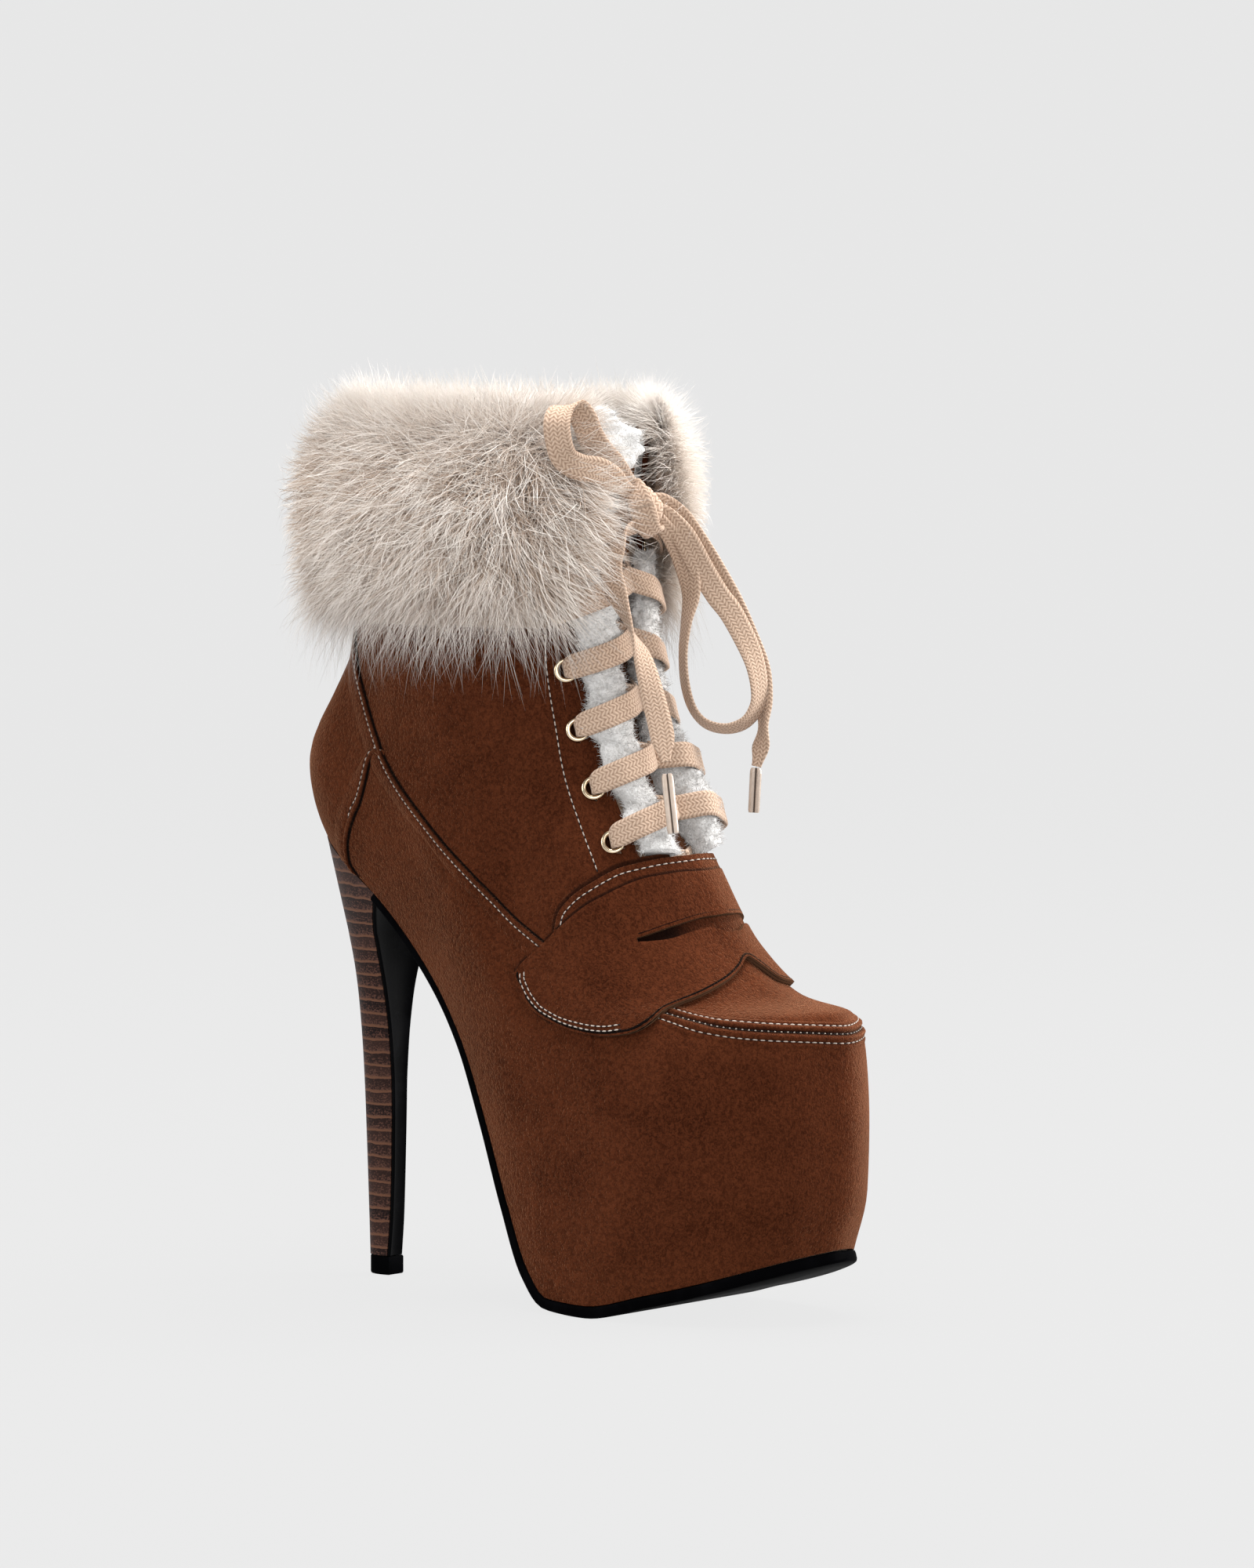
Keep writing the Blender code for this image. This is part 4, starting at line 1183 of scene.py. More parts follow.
    def strands(
        self,
        name: str,
        paths: np.ndarray,
        sides: np.ndarray,
        widths: np.ndarray,
        chance: np.ndarray,
    ) -> Piece:
        """Many hairs as one mesh of narrow blades.

        Args:
            name: Name of the piece.
            paths: Points of each hair as hair, step, axis.
            sides: Unit direction of each hair's width.
            widths: Full width of each hair at its root.
            chance: Value of each hair from 0 to 1, for its colour.

        Returns:
            The object.
        """
        hairs, steps = paths.shape[:2]
        points = 2 * steps - 1
        taper = np.linspace(1.0, self.tip_taper, steps)[None, :-1, None]
        half = 0.5 * widths[:, None, None] * taper * sides[:, None, :]
        verts = np.empty((hairs, points, 3))
        verts[:, 0:-1:2] = paths[:, :-1] - half
        verts[:, 1:-1:2] = paths[:, :-1] + half
        verts[:, -1] = paths[:, -1]
        corners: List[int] = []
        for k in range(steps - 2):
            corners += [2 * k, 2 * k + 1, 2 * k + 3, 2 * k + 2]
        corners += [points - 3, points - 2, points - 1]
        sizes = [4] * (steps - 2) + [3]
        loops = (np.arange(hairs)[:, None] * points + np.array(corners)[None, :]).ravel()
        starts = np.concatenate([[0], np.cumsum(np.tile(sizes, hairs))[:-1]])
        along = np.repeat(np.linspace(0.0, 1.0, steps), 2)[:points][np.array(corners)]
        uv = np.stack([np.repeat(chance, len(corners)), np.tile(along, hairs)], axis=1)
        mesh = bpy.data.meshes.new(name)
        mesh.vertices.add(hairs * points)
        mesh.vertices.foreach_set("co", self.place(verts).astype(np.float32).ravel())
        mesh.loops.add(len(loops))
        mesh.loops.foreach_set("vertex_index", loops.astype(np.int32))
        mesh.polygons.add(len(starts))
        mesh.polygons.foreach_set("loop_start", starts.astype(np.int32))
        layer = mesh.uv_layers.new(name="UVMap")
        layer.data.foreach_set("uv", uv.astype(np.float32).ravel())
        mesh.update(calc_edges=True)
        return self.link(name, mesh)

    def finish(
        self,
        piece: Piece,
        finishes: Sequence[Finish],
        nodes: Sequence[str] = (),
        angle: float = SHARP,
    ) -> Piece:
        """Shade, dress and hang a piece on the frame.

        Args:
            piece: The piece.
            finishes: Finish of each material slot.
            nodes: Nodes of the model that it stands for.
            angle: Edges sharper than this stay sharp.

        Returns:
            The piece.
        """
        self.only(piece)
        self.dress(piece, finishes)
        if angle < ALL_SMOOTH:
            bpy.ops.object.shade_smooth_by_angle(angle=math.radians(angle))
        else:
            bpy.ops.object.shade_smooth()
        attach(piece, BODY)
        if nodes:
            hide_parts(*nodes)
        count = sum(len(face.vertices) - 2 for face in piece.data.polygons)
        self.triangles += count
        LOG.info("%s: %d triangles", piece.name, count)
        return piece

    @staticmethod
    def keep(frame: Dict[str, object], node: str, finish: Finish) -> None:
        """Give a node that stays as it is a better finish."""
        mesh = frame["nodes"][node].data
        mesh.materials.clear()
        mesh.materials.append(finish.material())


@dataclass
class Upper:
    """Suede shell with its lining, open at the throat, the collar and below."""

    last: Last
    bench: Bench
    wall: float = 2.0
    hole: float = 2.7
    throat_cells: int = 24
    facing_cells: int = 34
    side_cells: int = 50
    front_station: float = 0.12
    facing_station: float = 0.30
    settle_row: float = 5.0
    rows: Tuple[Tuple[float, float, int], ...] = (
        (0.0, 3.0, 18), (3.0, 4.7, 16), (4.7, 6.85, 20), (6.85, 10.1, 62), (10.1, 11.0, 6),
    )
    creases: Tuple[Crease, ...] = (
        Crease((-0.44, 6.05), (-0.28, 7.20), 11.0, 1.3),
        Crease((-0.56, 6.20), (-0.36, 7.60), 10.0, -0.6),
        Crease((-0.72, 6.70), (-0.50, 7.90), 13.0, 0.7),
        Crease((-0.22, 8.55), (-0.52, 8.36), 3.2, 0.35),
        Crease((-0.22, 8.72), (-0.56, 8.52), 2.6, 0.30),
        Crease((-0.22, 8.92), (-0.50, 8.70), 3.0, 0.30),
        Crease((-0.36, 4.30), (-0.44, 2.00), 14.0, 0.6),
        Crease((0.44, 6.05), (0.28, 7.20), 11.0, 1.2),
        Crease((0.72, 6.70), (0.50, 7.90), 13.0, 0.7),
        Crease((0.22, 8.60), (0.54, 8.40), 3.2, 0.35),
        Crease((0.36, 4.30), (0.44, 2.00), 14.0, 0.6),
    )

    def columns(self) -> np.ndarray:
        """Places round the ring, closer together near the throat."""
        half = np.concatenate(
            [
                np.linspace(0.0, self.front_station, self.throat_cells + 1),
                np.linspace(self.front_station, self.facing_station, self.facing_cells + 1)[1:],
                np.linspace(self.facing_station, 1.0, self.side_cells + 1)[1:],
            ]
        )
        return np.concatenate([-half[:0:-1], half])

    def ring_rows(self) -> np.ndarray:
        """Ring numbers of the rows."""
        runs = [np.linspace(low, high, cells + 1)[1:] for low, high, cells in self.rows]
        return np.concatenate([[0.0]] + runs)

    def settled(self, columns: np.ndarray, rows: np.ndarray) -> np.ndarray:
        """Columns drawn aside so that one of them runs along the edge of the throat."""
        settle = ease((rows - self.settle_row) / (THROAT_BASE - self.settle_row))
        throat = self.last.throat.at(np.maximum(rows, THROAT_BASE))
        edge = (1.0 - settle) * self.front_station + settle * throat
        share = np.abs(columns)
        inside = share / self.front_station * edge
        outside = edge + (share - self.front_station) / (1.0 - self.front_station) * (1.0 - edge)
        return np.sign(columns) * np.where(share <= self.front_station + TINY, inside, outside)

    def build(self) -> None:
        """Bend a grid over the last, cut the throat and the lace holes and give it its wall."""
        columns, rows = self.columns(), self.ring_rows()
        piece, i, j = self.bench.grid("suede_upper", len(columns) - 1, len(rows) - 1)
        u = self.settled(columns[i], rows[j])
        v = rows[j]
        lift = self.last.creased(u, v, self.creases)
        points = self.last.lifted(u, v, lift)
        self.bench.bend(piece, points)
        corners = self.bench.corners(piece.data).reshape(-1, 4)
        middle = points[corners].mean(axis=1)
        share = np.abs(columns[i][corners]).mean(axis=1)
        drop = (share < self.front_station) & (v[corners].mean(axis=1) > THROAT_BASE)
        for side in Side:
            for row in EYELET_ROWS:
                place = eyelet_place(self.last, row, side)[0]
                near = np.linalg.norm(points[corners] - place, axis=2).min(axis=1)
                drop |= (near < self.hole) | (np.linalg.norm(middle - place, axis=1) < self.hole)
        self.bench.trim(piece, drop)
        self.bench.weld(piece)
        self.bench.dress(piece, (SUEDE, PILE))
        self.bench.thicken(piece, self.wall, False, lining=1)
        self.bench.finish(piece, (SUEDE, PILE), ("upper",))


def eyelet_place(last: Last, row: float, side: Side) -> Tuple[np.ndarray, np.ndarray]:
    """Middle and normal of a lace hole."""
    u = side.value * (last.throat.at(row) + EYELET_ASIDE)
    return last.skin(u, row), last.ways(u, row)[2]


@dataclass
class Sewing:
    """Stitch rows, collected into one mesh of pale thread and one of dark stitches that are painted shade in
    the holes between them.
    """

    last: Last
    bench: Bench
    pitch: float = 2.5
    length: float = 1.75
    radius: float = 0.23
    # Sunk dark stitches between the pale ones: painted shade in the stitch holes
    dark_length: float = 1.15
    dark_sink: float = 0.10
    dark_swell: float = 1.1
    pale: List[np.ndarray] = field(default_factory=list)
    dark: List[np.ndarray] = field(default_factory=list)

    def row(
        self,
        table: Table,
        inset: float,
        lift: float,
        pitch: Optional[float] = None,
        length: Optional[float] = None,
    ) -> None:
        """Sew along a line of the skin.

        Args:
            table: Bends of the line as rows of u and v.
            inset: Distance to the left of the line, seen from outside.
            lift: Height of the cloth above the skin.
            pitch: Distance from stitch to stitch, where it isn't the usual one.
            length: Length of a stitch, where it isn't the usual one.
        """
        pitch = pitch or self.pitch
        length = length or self.length
        u, v, ahead = self.last.path(table, 0.25 * pitch)
        normal = self.last.ways(u, v)[2]
        aside = unit(np.cross(normal, ahead))
        u, v = self.last.walk(u, v, aside * inset)
        points = self.last.lifted(u, v, lift)
        normal = self.last.ways(u, v)[2]
        ahead = unit(np.gradient(points, axis=0))
        for k in range(2, len(points) - 2, 4):
            self._stitch(self.pale, points[k], ahead[k], normal[k], length)
            # Painted shade: a dark sunk stitch in each gap between pale stitches
            sunk = (self.dark_length, self.dark_sink, self.dark_swell)
            self._stitch(self.dark, points[k - 2], ahead[k - 2], normal[k - 2], *sunk)

    def _stitch(
        self,
        heap: List[np.ndarray],
        place: np.ndarray,
        ahead: np.ndarray,
        normal: np.ndarray,
        length: float,
        sink: float = 0.0,
        swell: float = 1.0,
    ) -> None:
        """One arched stitch as rings of five points.

        Args:
            heap: Stitches of its thread.
            place: Its middle, on the cloth.
            ahead: Direction of the stitch.
            normal: Direction away from the cloth.
            length: Its length.
            sink: How far it lies in the cloth.
            swell: Its thickness as a share of the usual one.
        """
        aside = np.cross(normal, ahead)
        rings = []
        for share in (-0.5, -0.3, 0.0, 0.3, 0.5):
            thick = self.radius * swell * (1.0 - (1.9 * abs(share)) ** 4 * 0.9)
            rise = self.radius * (0.75 - 3.4 * share * share) - sink
            middle = place + ahead * share * length + normal * rise
            turn = np.linspace(0.0, 2.0 * math.pi, 6)[:-1, None]
            rings.append(middle + thick * (np.cos(turn) * normal * 0.8 + np.sin(turn) * aside))
        heap.append(np.array(rings))

    def build(self) -> None:
        """Join the pale stitches, and the dark ones that are painted shade in the stitch holes."""
        threads = (("pale", self.pale, PALE_THREAD), ("dark", self.dark, STITCH_HOLE_SHADE))
        for word, heap, finish in threads:
            rings = np.array(heap)
            count, steps, around = rings.shape[:3]
            faces = tube_faces(steps, around)
            every = [tuple(c + k * steps * around for c in face) for k in range(count) for face in faces]
            piece = self.bench.body("stitches_" + word, rings, every)
            self.bench.finish(piece, (finish,), angle=ALL_SMOOTH)


@dataclass
class Trim:
    """Lays narrow shaped strips along lines of the skin."""

    last: Last
    bench: Bench
    spacing: float = 0.9
    collar: float = 2.6

    def lay(
        self,
        name: str,
        table: Table,
        profile: Table,
        nodes: Sequence[str] = (),
        junction: Optional[Pair] = None,
        settle: float = 3.0,
    ) -> None:
        """Strip along a line, with the panel to the left of the line seen from outside.

        Args:
            name: Name of the piece.
            table: Bends of the line as rows of u and v.
            profile: Rows of inset from the line, lift and share of edge paint, which is dark edge ink in some
                strips and painted shade in others.
            nodes: Nodes of the model that it stands for.
            junction: Place where the strip meets another line and gets narrow.
            settle: Length at both ends over which the strip sinks.
        """
        u, v, ahead = self.last.path(table, self.spacing)
        normal = self.last.ways(u, v)[2]
        aside = unit(np.cross(normal, ahead))
        rows = np.array(profile)
        piece, i, j = self.bench.grid(name, len(u) - 1, len(rows) - 1)
        inset = rows[j, 0]
        if junction is not None:
            gap = np.linalg.norm(self.last.skin(u, v) - self.last.skin(*junction), axis=1)
            keep = ease((gap - 2.0) / 16.0)[i]
            inset = np.where(inset > self.collar, self.collar + (inset - self.collar) * keep, inset)
        new_u, new_v = self.last.walk(u[i], v[i], aside[i] * inset[:, None])
        ends = np.minimum(i, len(u) - 1 - i) * self.spacing
        lift = rows[j, 1] * (0.25 + 0.75 * ease(ends / settle))
        self.bench.bend(piece, self.last.lifted(new_u, new_v, lift))
        self.bench.paint(piece, rows[j, 2])
        self.bench.finish(piece, (SUEDE,), nodes, angle=ALL_SMOOTH)


@dataclass
class Panels:
    """Edges of the back piece and of the lower panels, with their stitch rows, and the eyestay rows."""

    last: Last
    trim: Trim
    sewing: Sewing
    counter: Table = (
        (0.846, 0.02), (0.857, 0.35), (0.850, 1.16), (0.836, 2.05), (0.818, 2.94), (0.798, 4.24),
        (0.770, 5.54), (0.746, 6.34), (0.730, 6.55), (0.708, 6.60),
    )
    counter_stitches: Table = (
        (0.824, 2.62), (0.798, 4.24), (0.770, 5.54), (0.746, 6.34), (0.730, 6.55), (0.712, 6.60),
    )
    diagonal: Table = (
        (0.330, 5.78), (0.362, 5.92), (0.392, 6.03), (0.442, 6.19), (0.504, 6.23), (0.564, 6.22),
        (0.624, 6.26), (0.666, 6.38), (0.702, 6.65), (0.722, 6.95), (0.754, 7.34), (0.818, 7.86),
        (0.88, 8.45),
    )
    eyestay: Table = (
        (0.224, 6.81), (0.231, 7.15), (0.238, 7.75), (0.235, 8.38), (0.235, 9.04), (0.24, 9.4),
    )
    # inset from the edge, lift, share of edge paint, which is painted shade in the gap under the panel's
    # edge, partly its dark raw edge
    profile: Table = (
        (-1.00, -0.20, 0.0), (-0.60, 0.05, 0.3), (-0.40, 0.08, 1.0), (-0.10, 0.10, 1.0),
        (0.05, 0.45, 1.0), (0.20, 0.85, 0.45), (0.48, 1.15, 0.0), (1.00, 1.28, 0.0), (1.50, 1.12, 0.0),
        (1.95, 0.78, 0.0), (2.25, 0.70, 0.0), (2.60, 0.82, 0.0), (3.60, 0.90, 0.0), (5.60, 0.70, 0.0),
        (8.00, 0.25, 0.0), (10.00, -0.25, 0.0),
    )
    stitch_inset: float = 2.25
    stitch_lift: float = 0.72
    stitch_pitch: float = 2.2
    stitch_length: float = 1.5

    def build(self) -> None:
        """Both sides of the boot; each line runs with its panel on the left, seen from outside."""
        for side in Side:
            counter, diagonal = on_side(self.counter, side), on_side(self.diagonal, side)
            meet = (side.value * self.counter[-1][0], self.counter[-1][1])
            seat = ("counter",) if side is Side.OUTER else ()
            seam = ("side_seam_" + side.word,)
            self.trim.lay("counter_edge_" + side.word, counter, self.profile, seat, meet)
            self.trim.lay("lower_panel_edge_" + side.word, diagonal, self.profile, seam)
            stitch = (self.stitch_inset, self.stitch_lift, self.stitch_pitch, self.stitch_length)
            self.sewing.row(on_side(self.counter_stitches, side), *stitch)
            self.sewing.row(diagonal, *stitch)
            self.sewing.row(on_side(self.eyestay, side), 0.0, 0.0)


@dataclass
class Vamp:
    """Loafer strap, flap and apron seam."""

    last: Last
    bench: Bench
    sewing: Sewing
    trim: Trim
    lift: float = 0.40
    strap_thick: float = 1.9
    strap_end: float = 0.447
    flap_thick: float = 1.4
    flap_end: float = 0.328
    flap_inset: float = 2.3
    shade_end: float = 0.325
    crown: float = 0.12
    tab_insets: Pair = (1.6, 3.0)
    seam_inset: float = 2.95
    seam_lift: float = 0.15
    strap_top: Table = (
        (0.0, 6.83), (0.046, 6.83), (0.128, 6.78), (0.236, 6.52), (0.308, 6.19), (0.356, 5.85),
        (0.418, 5.27), (0.447, 4.92),
    )
    strap_middle: Table = (
        (-0.138, 5.22), (-0.086, 5.49), (-0.040, 5.72), (-0.008, 5.87), (0.010, 5.70), (0.028, 5.45),
        (0.060, 5.34), (0.138, 5.18),
    )
    strap_tab: Table = (
        (0.214, 4.71), (0.296, 3.85), (0.326, 3.80), (0.372, 3.89), (0.404, 4.08), (0.432, 4.33),
        (0.442, 4.48), (0.447, 4.64),
    )
    tab_end: Table = ((0.428, 5.16), (0.440, 5.00), (0.446, 4.86), (0.447, 4.76))
    slot_end: float = 0.187
    slot_top: Table = ((0.0, 6.42), (0.054, 6.40), (0.120, 6.31), (0.187, 6.15))
    slot_bottom: Table = (
        (0.0, 6.23), (0.014, 6.23), (0.052, 6.29), (0.094, 6.24), (0.140, 6.15), (0.187, 6.10),
    )
    tab_stitches: Table = (
        (0.304, 3.84), (0.326, 3.80), (0.372, 3.89), (0.404, 4.08), (0.432, 4.33), (0.443, 4.52),
        (0.446, 4.72), (0.436, 5.02),
    )
    flap_top: Table = (
        (0.00, 7.00), (0.070, 6.98), (0.166, 6.88), (0.252, 6.63), (0.290, 6.46), (0.312, 6.31),
        (0.328, 6.07),
    )
    # inset from the edge, lift, share of edge paint: painted shade in the shade lines, black edge ink in the
    # ink line
    shade_line: Table = (
        (-2.5, -0.10, 0.0), (-2.1, 0.05, 0.25), (-1.6, 0.08, 0.6), (-0.4, 0.08, 0.7), (0.6, 0.05, 0.7),
    )
    fold_line: Table = (
        (-1.5, -0.15, 0.0), (-1.1, 0.05, 0.45), (-0.5, 0.10, 0.75), (0.6, 0.10, 0.75),
    )
    ink_line: Table = (
        (-0.10, -0.90, 1.0), (0.18, -0.48, 1.0), (0.50, -0.12, 1.0), (0.80, 0.09, 1.0),
        (1.40, 0.12, 1.0), (1.60, -0.05, 1.0),
    )
    apron: Table = (
        (0.0, 3.26), (0.059, 3.385), (0.10, 3.53), (0.140, 3.715), (0.190, 4.10), (0.221, 4.62),
        (0.228, 4.80),
    )
    # Half of the apron seam's profile: inset from the middle of the seam, lift, share of edge paint, which is
    # painted shade in the middle groove and in the grooves of the stitch rows
    apron_half: Table = (
        (-5.2, -0.25, 0.0), (-4.2, 0.30, 0.0), (-3.6, 0.50, 0.0), (-2.95, 0.12, 0.45),
        (-2.4, 0.62, 0.0), (-1.7, 1.15, 0.0), (-1.0, 0.95, 0.0), (-0.45, 0.25, 0.7),
    )
    apron_middle: Table = ((0.0, 0.05, 1.0),)

    def strap_bottom(self) -> Curve:
        """Lower edge of the strap from the outer tab to the inner tab."""
        return Curve.of(mirrored(self.strap_tab) + self.strap_middle + self.strap_tab)

    def strap(self) -> None:
        """Strap with its slot, cut edges and inked rims."""
        slot_cells, tab_cells = 46, 30
        spread = np.sin(np.linspace(0.0, math.pi / 2.0, tab_cells + 1))[1:]
        tab = self.slot_end + (self.strap_end - self.slot_end) * spread
        share = np.concatenate([np.linspace(0.0, self.slot_end, slot_cells + 1), tab])
        columns = np.concatenate([-share[:0:-1], share])
        slot_low_row, slot_high_row, top_row = 22, 23, 31
        piece, i, j = self.bench.grid("loafer_strap", len(columns) - 1, top_row)
        away = np.abs(columns)
        low = self.strap_bottom().at(columns)
        high = Curve.of(self.strap_top).at(away)
        inside = away <= self.slot_end + TINY
        slot_low = np.where(inside, Curve.of(self.slot_bottom).at(away), low + 0.70 * (high - low))
        slot_high = np.where(inside, Curve.of(self.slot_top).at(away), low + 0.76 * (high - low))
        below = low[i] + (slot_low - low)[i] * np.minimum(j / slot_low_row, 1.0)
        above = slot_high[i] + (high - slot_high)[i] * (j - slot_high_row) / (top_row - slot_high_row)
        v = np.where(j <= slot_low_row, below, above)
        u = columns[i]
        across = (v - low[i]) / np.maximum(high - low, SLACK)[i]
        lift = self.lift + self.crown * 4.0 * across * (1.0 - across)
        self.bench.bend(piece, self.last.lifted(u, v, lift))
        corners = self.bench.corners(piece.data).reshape(-1, 4)
        in_slot = away[i][corners].max(axis=1) <= self.slot_end + TINY
        self.bench.trim(piece, in_slot & (j[corners].min(axis=1) == slot_low_row))
        finishes = (SUEDE, STRAP_RIM, STRAP_INK, STRAP_SHADED_EDGE)
        self.bench.dress(piece, finishes)
        self.bench.thicken(piece, self.strap_thick, True, rim=finishes.index(STRAP_RIM))
        self.bench.round_edges(piece, 0.75, material=finishes.index(STRAP_INK))
        self._settle_ink(piece, finishes.index(STRAP_INK), finishes.index(STRAP_SHADED_EDGE))
        self.bench.finish(piece, finishes, ("vamp_strap",))
        for side in Side:
            line = tuple((side.value * u, v) for u, v in self.tab_stitches)
            for inset in self.tab_insets:
                self.sewing.row(line, side.value * inset, self.lift + self.strap_thick + self.crown)

    @staticmethod
    def raised(profile: Table, height: float) -> Table:
        """Profile of a strip at a height above the skin."""
        return tuple((inset, lift + height, paint) for inset, lift, paint in profile)

    def lines(self) -> None:
        """Black lines on the strap's lower edge and the slot's upper edge, and painted shade beside the
        edges.
        """
        top = self.raised(self.ink_line, self.lift + self.strap_thick)
        u = np.linspace(-self.strap_end, self.strap_end, 181)
        low = tuple(zip(u, self.strap_bottom().at(u)))
        right = self.tab_end[::-1]
        self.trim.lay("strap_ink", mirrored(right) + low + right, top, settle=0.1)
        u = np.linspace(-self.slot_end, self.slot_end, 75)
        slot = tuple(zip(u, Curve.of(self.slot_top).at(np.abs(u))))
        self.trim.lay("slot_ink", slot, top, settle=0.1)
        # Painted shade on the flap along the strap's upper edge
        on_flap = self.raised(self.fold_line, self.lift + 0.03 + self.flap_thick)
        u = np.linspace(self.shade_end, -self.shade_end, 75)
        middle = tuple(zip(u, Curve.of(self.strap_top).at(np.abs(u))))
        self.trim.lay("strap_shade", middle, on_flap, settle=0.1)
        # Painted shade on the skin at the feet of the flap, the strap and the tab
        feet = (
            ("flap_foot_", self.flap_top[1:], self.shade_line),
            ("strap_foot_", self.strap_top[4:], self.shade_line),
            ("tab_foot_", self.tab_end[1:] + self.strap_tab[:3:-1], self.fold_line),
        )
        for side in Side:
            for name, table, profile in feet:
                self.trim.lay(name + side.word, on_side(table, side), profile, settle=0.5)

    def _settle_ink(self, piece: Piece, black: int, brown: int) -> None:
        """Leave black ink on the edges that face the toe and the heel, and on the other edges dark brown that
        is partly painted shade.

        Args:
            piece: The strap, with its rounded edges in the black finish.
            black: Material slot of the black ink.
            brown: Material slot of the dark brown edge, partly painted shade.
        """
        u = np.linspace(-self.strap_end, self.strap_end, 401)
        slot = u[np.abs(u) <= self.slot_end]
        ends = np.linspace(self.strap_tab[-1][1], self.strap_top[-1][1], 9)
        height = self.lift + self.strap_thick
        inked = np.vstack(
            [
                self.last.lifted(u, self.strap_bottom().at(u), height),
                self.last.lifted(slot, Curve.of(self.slot_top).at(np.abs(slot)), height),
                self.last.lifted(-self.strap_end, ends, height),
                self.last.lifted(self.strap_end, ends, height),
            ]
        )
        plain = np.vstack(
            [
                self.last.lifted(u, Curve.of(self.strap_top).at(np.abs(u)), height),
                self.last.lifted(slot, Curve.of(self.slot_bottom).at(np.abs(slot)), height),
            ]
        )
        inked, plain = self.bench.place(inked), self.bench.place(plain)
        for face in piece.data.polygons:
            if face.material_index == black:
                middle = np.array(face.center)
                to_ink = np.linalg.norm(inked - middle, axis=1).min()
                to_plain = np.linalg.norm(plain - middle, axis=1).min()
                face.material_index = black if to_ink < to_plain else brown

    def slot_floor(self) -> None:
        """Suede under the slot, with painted shade that deepens at its narrow ends."""
        past_end, past_edge, rows = 0.02, 0.10, 6
        columns = np.linspace(-self.slot_end - past_end, self.slot_end + past_end, 61)
        piece, i, j = self.bench.grid("slot_floor", len(columns) - 1, rows)
        away = np.abs(columns)
        low = Curve.of(self.slot_bottom).at(away) - past_edge
        high = Curve.of(self.slot_top).at(away) + past_edge
        v = low[i] + (high - low)[i] * j / rows
        lift = 0.15 + 0.9 * ease((columns[i] + 0.01) / 0.07)
        self.bench.bend(piece, self.last.lifted(columns[i], v, lift))
        # Painted shade over the whole floor, darkest at the slot's narrow ends
        self.bench.paint(piece, 0.25 + 0.65 * ease((away[i] - 0.07) / 0.06))
        self.bench.thicken(piece, 0.3, True)
        self.bench.finish(piece, (SUEDE,))

    def flap(self) -> None:
        """Turned edge of the vamp over the foot of the tongue."""
        rows = 12
        columns = np.linspace(-self.flap_end, self.flap_end, 111)
        piece, i, j = self.bench.grid("vamp_flap_edge", len(columns) - 1, rows)
        away = np.abs(columns)
        low = Curve.of(self.strap_top).at(away) - 0.20
        high = Curve.of(self.flap_top).at(away)
        t = j / rows
        v = low[i] + (high - low)[i] * t
        lift = self.lift * ease((t - 0.2) / 0.4) + 0.02
        self.bench.bend(piece, self.last.lifted(columns[i], v, lift))
        self.bench.thicken(piece, self.flap_thick, True)
        self.bench.round_edges(piece, 0.45)
        self.bench.finish(piece, (SUEDE,), ("vamp_flap",))
        line = mirrored(self.flap_top[1:]) + self.flap_top
        self.sewing.row(line, -self.flap_inset, self.lift + self.flap_thick + 0.02)

    def seam(self) -> None:
        """Raised seam round the apron, with two ridges and three stitch rows."""
        line = mirrored(self.apron[1:]) + self.apron
        profile = self.apron_half + self.apron_middle + mirrored(self.apron_half)
        self.trim.lay("apron_ridge", line, profile, ("apron_seam",))
        self.sewing.row(line, self.seam_inset, self.seam_lift)
        self.sewing.row(line, -self.seam_inset, self.seam_lift)
        self.sewing.row(line, 0.0, self.seam_lift, pitch=2.2, length=0.75)

    def build(self) -> None:
        """Strap, flap and seam."""
        self.strap()
        self.slot_floor()
        self.flap()
        self.lines()
        self.seam()


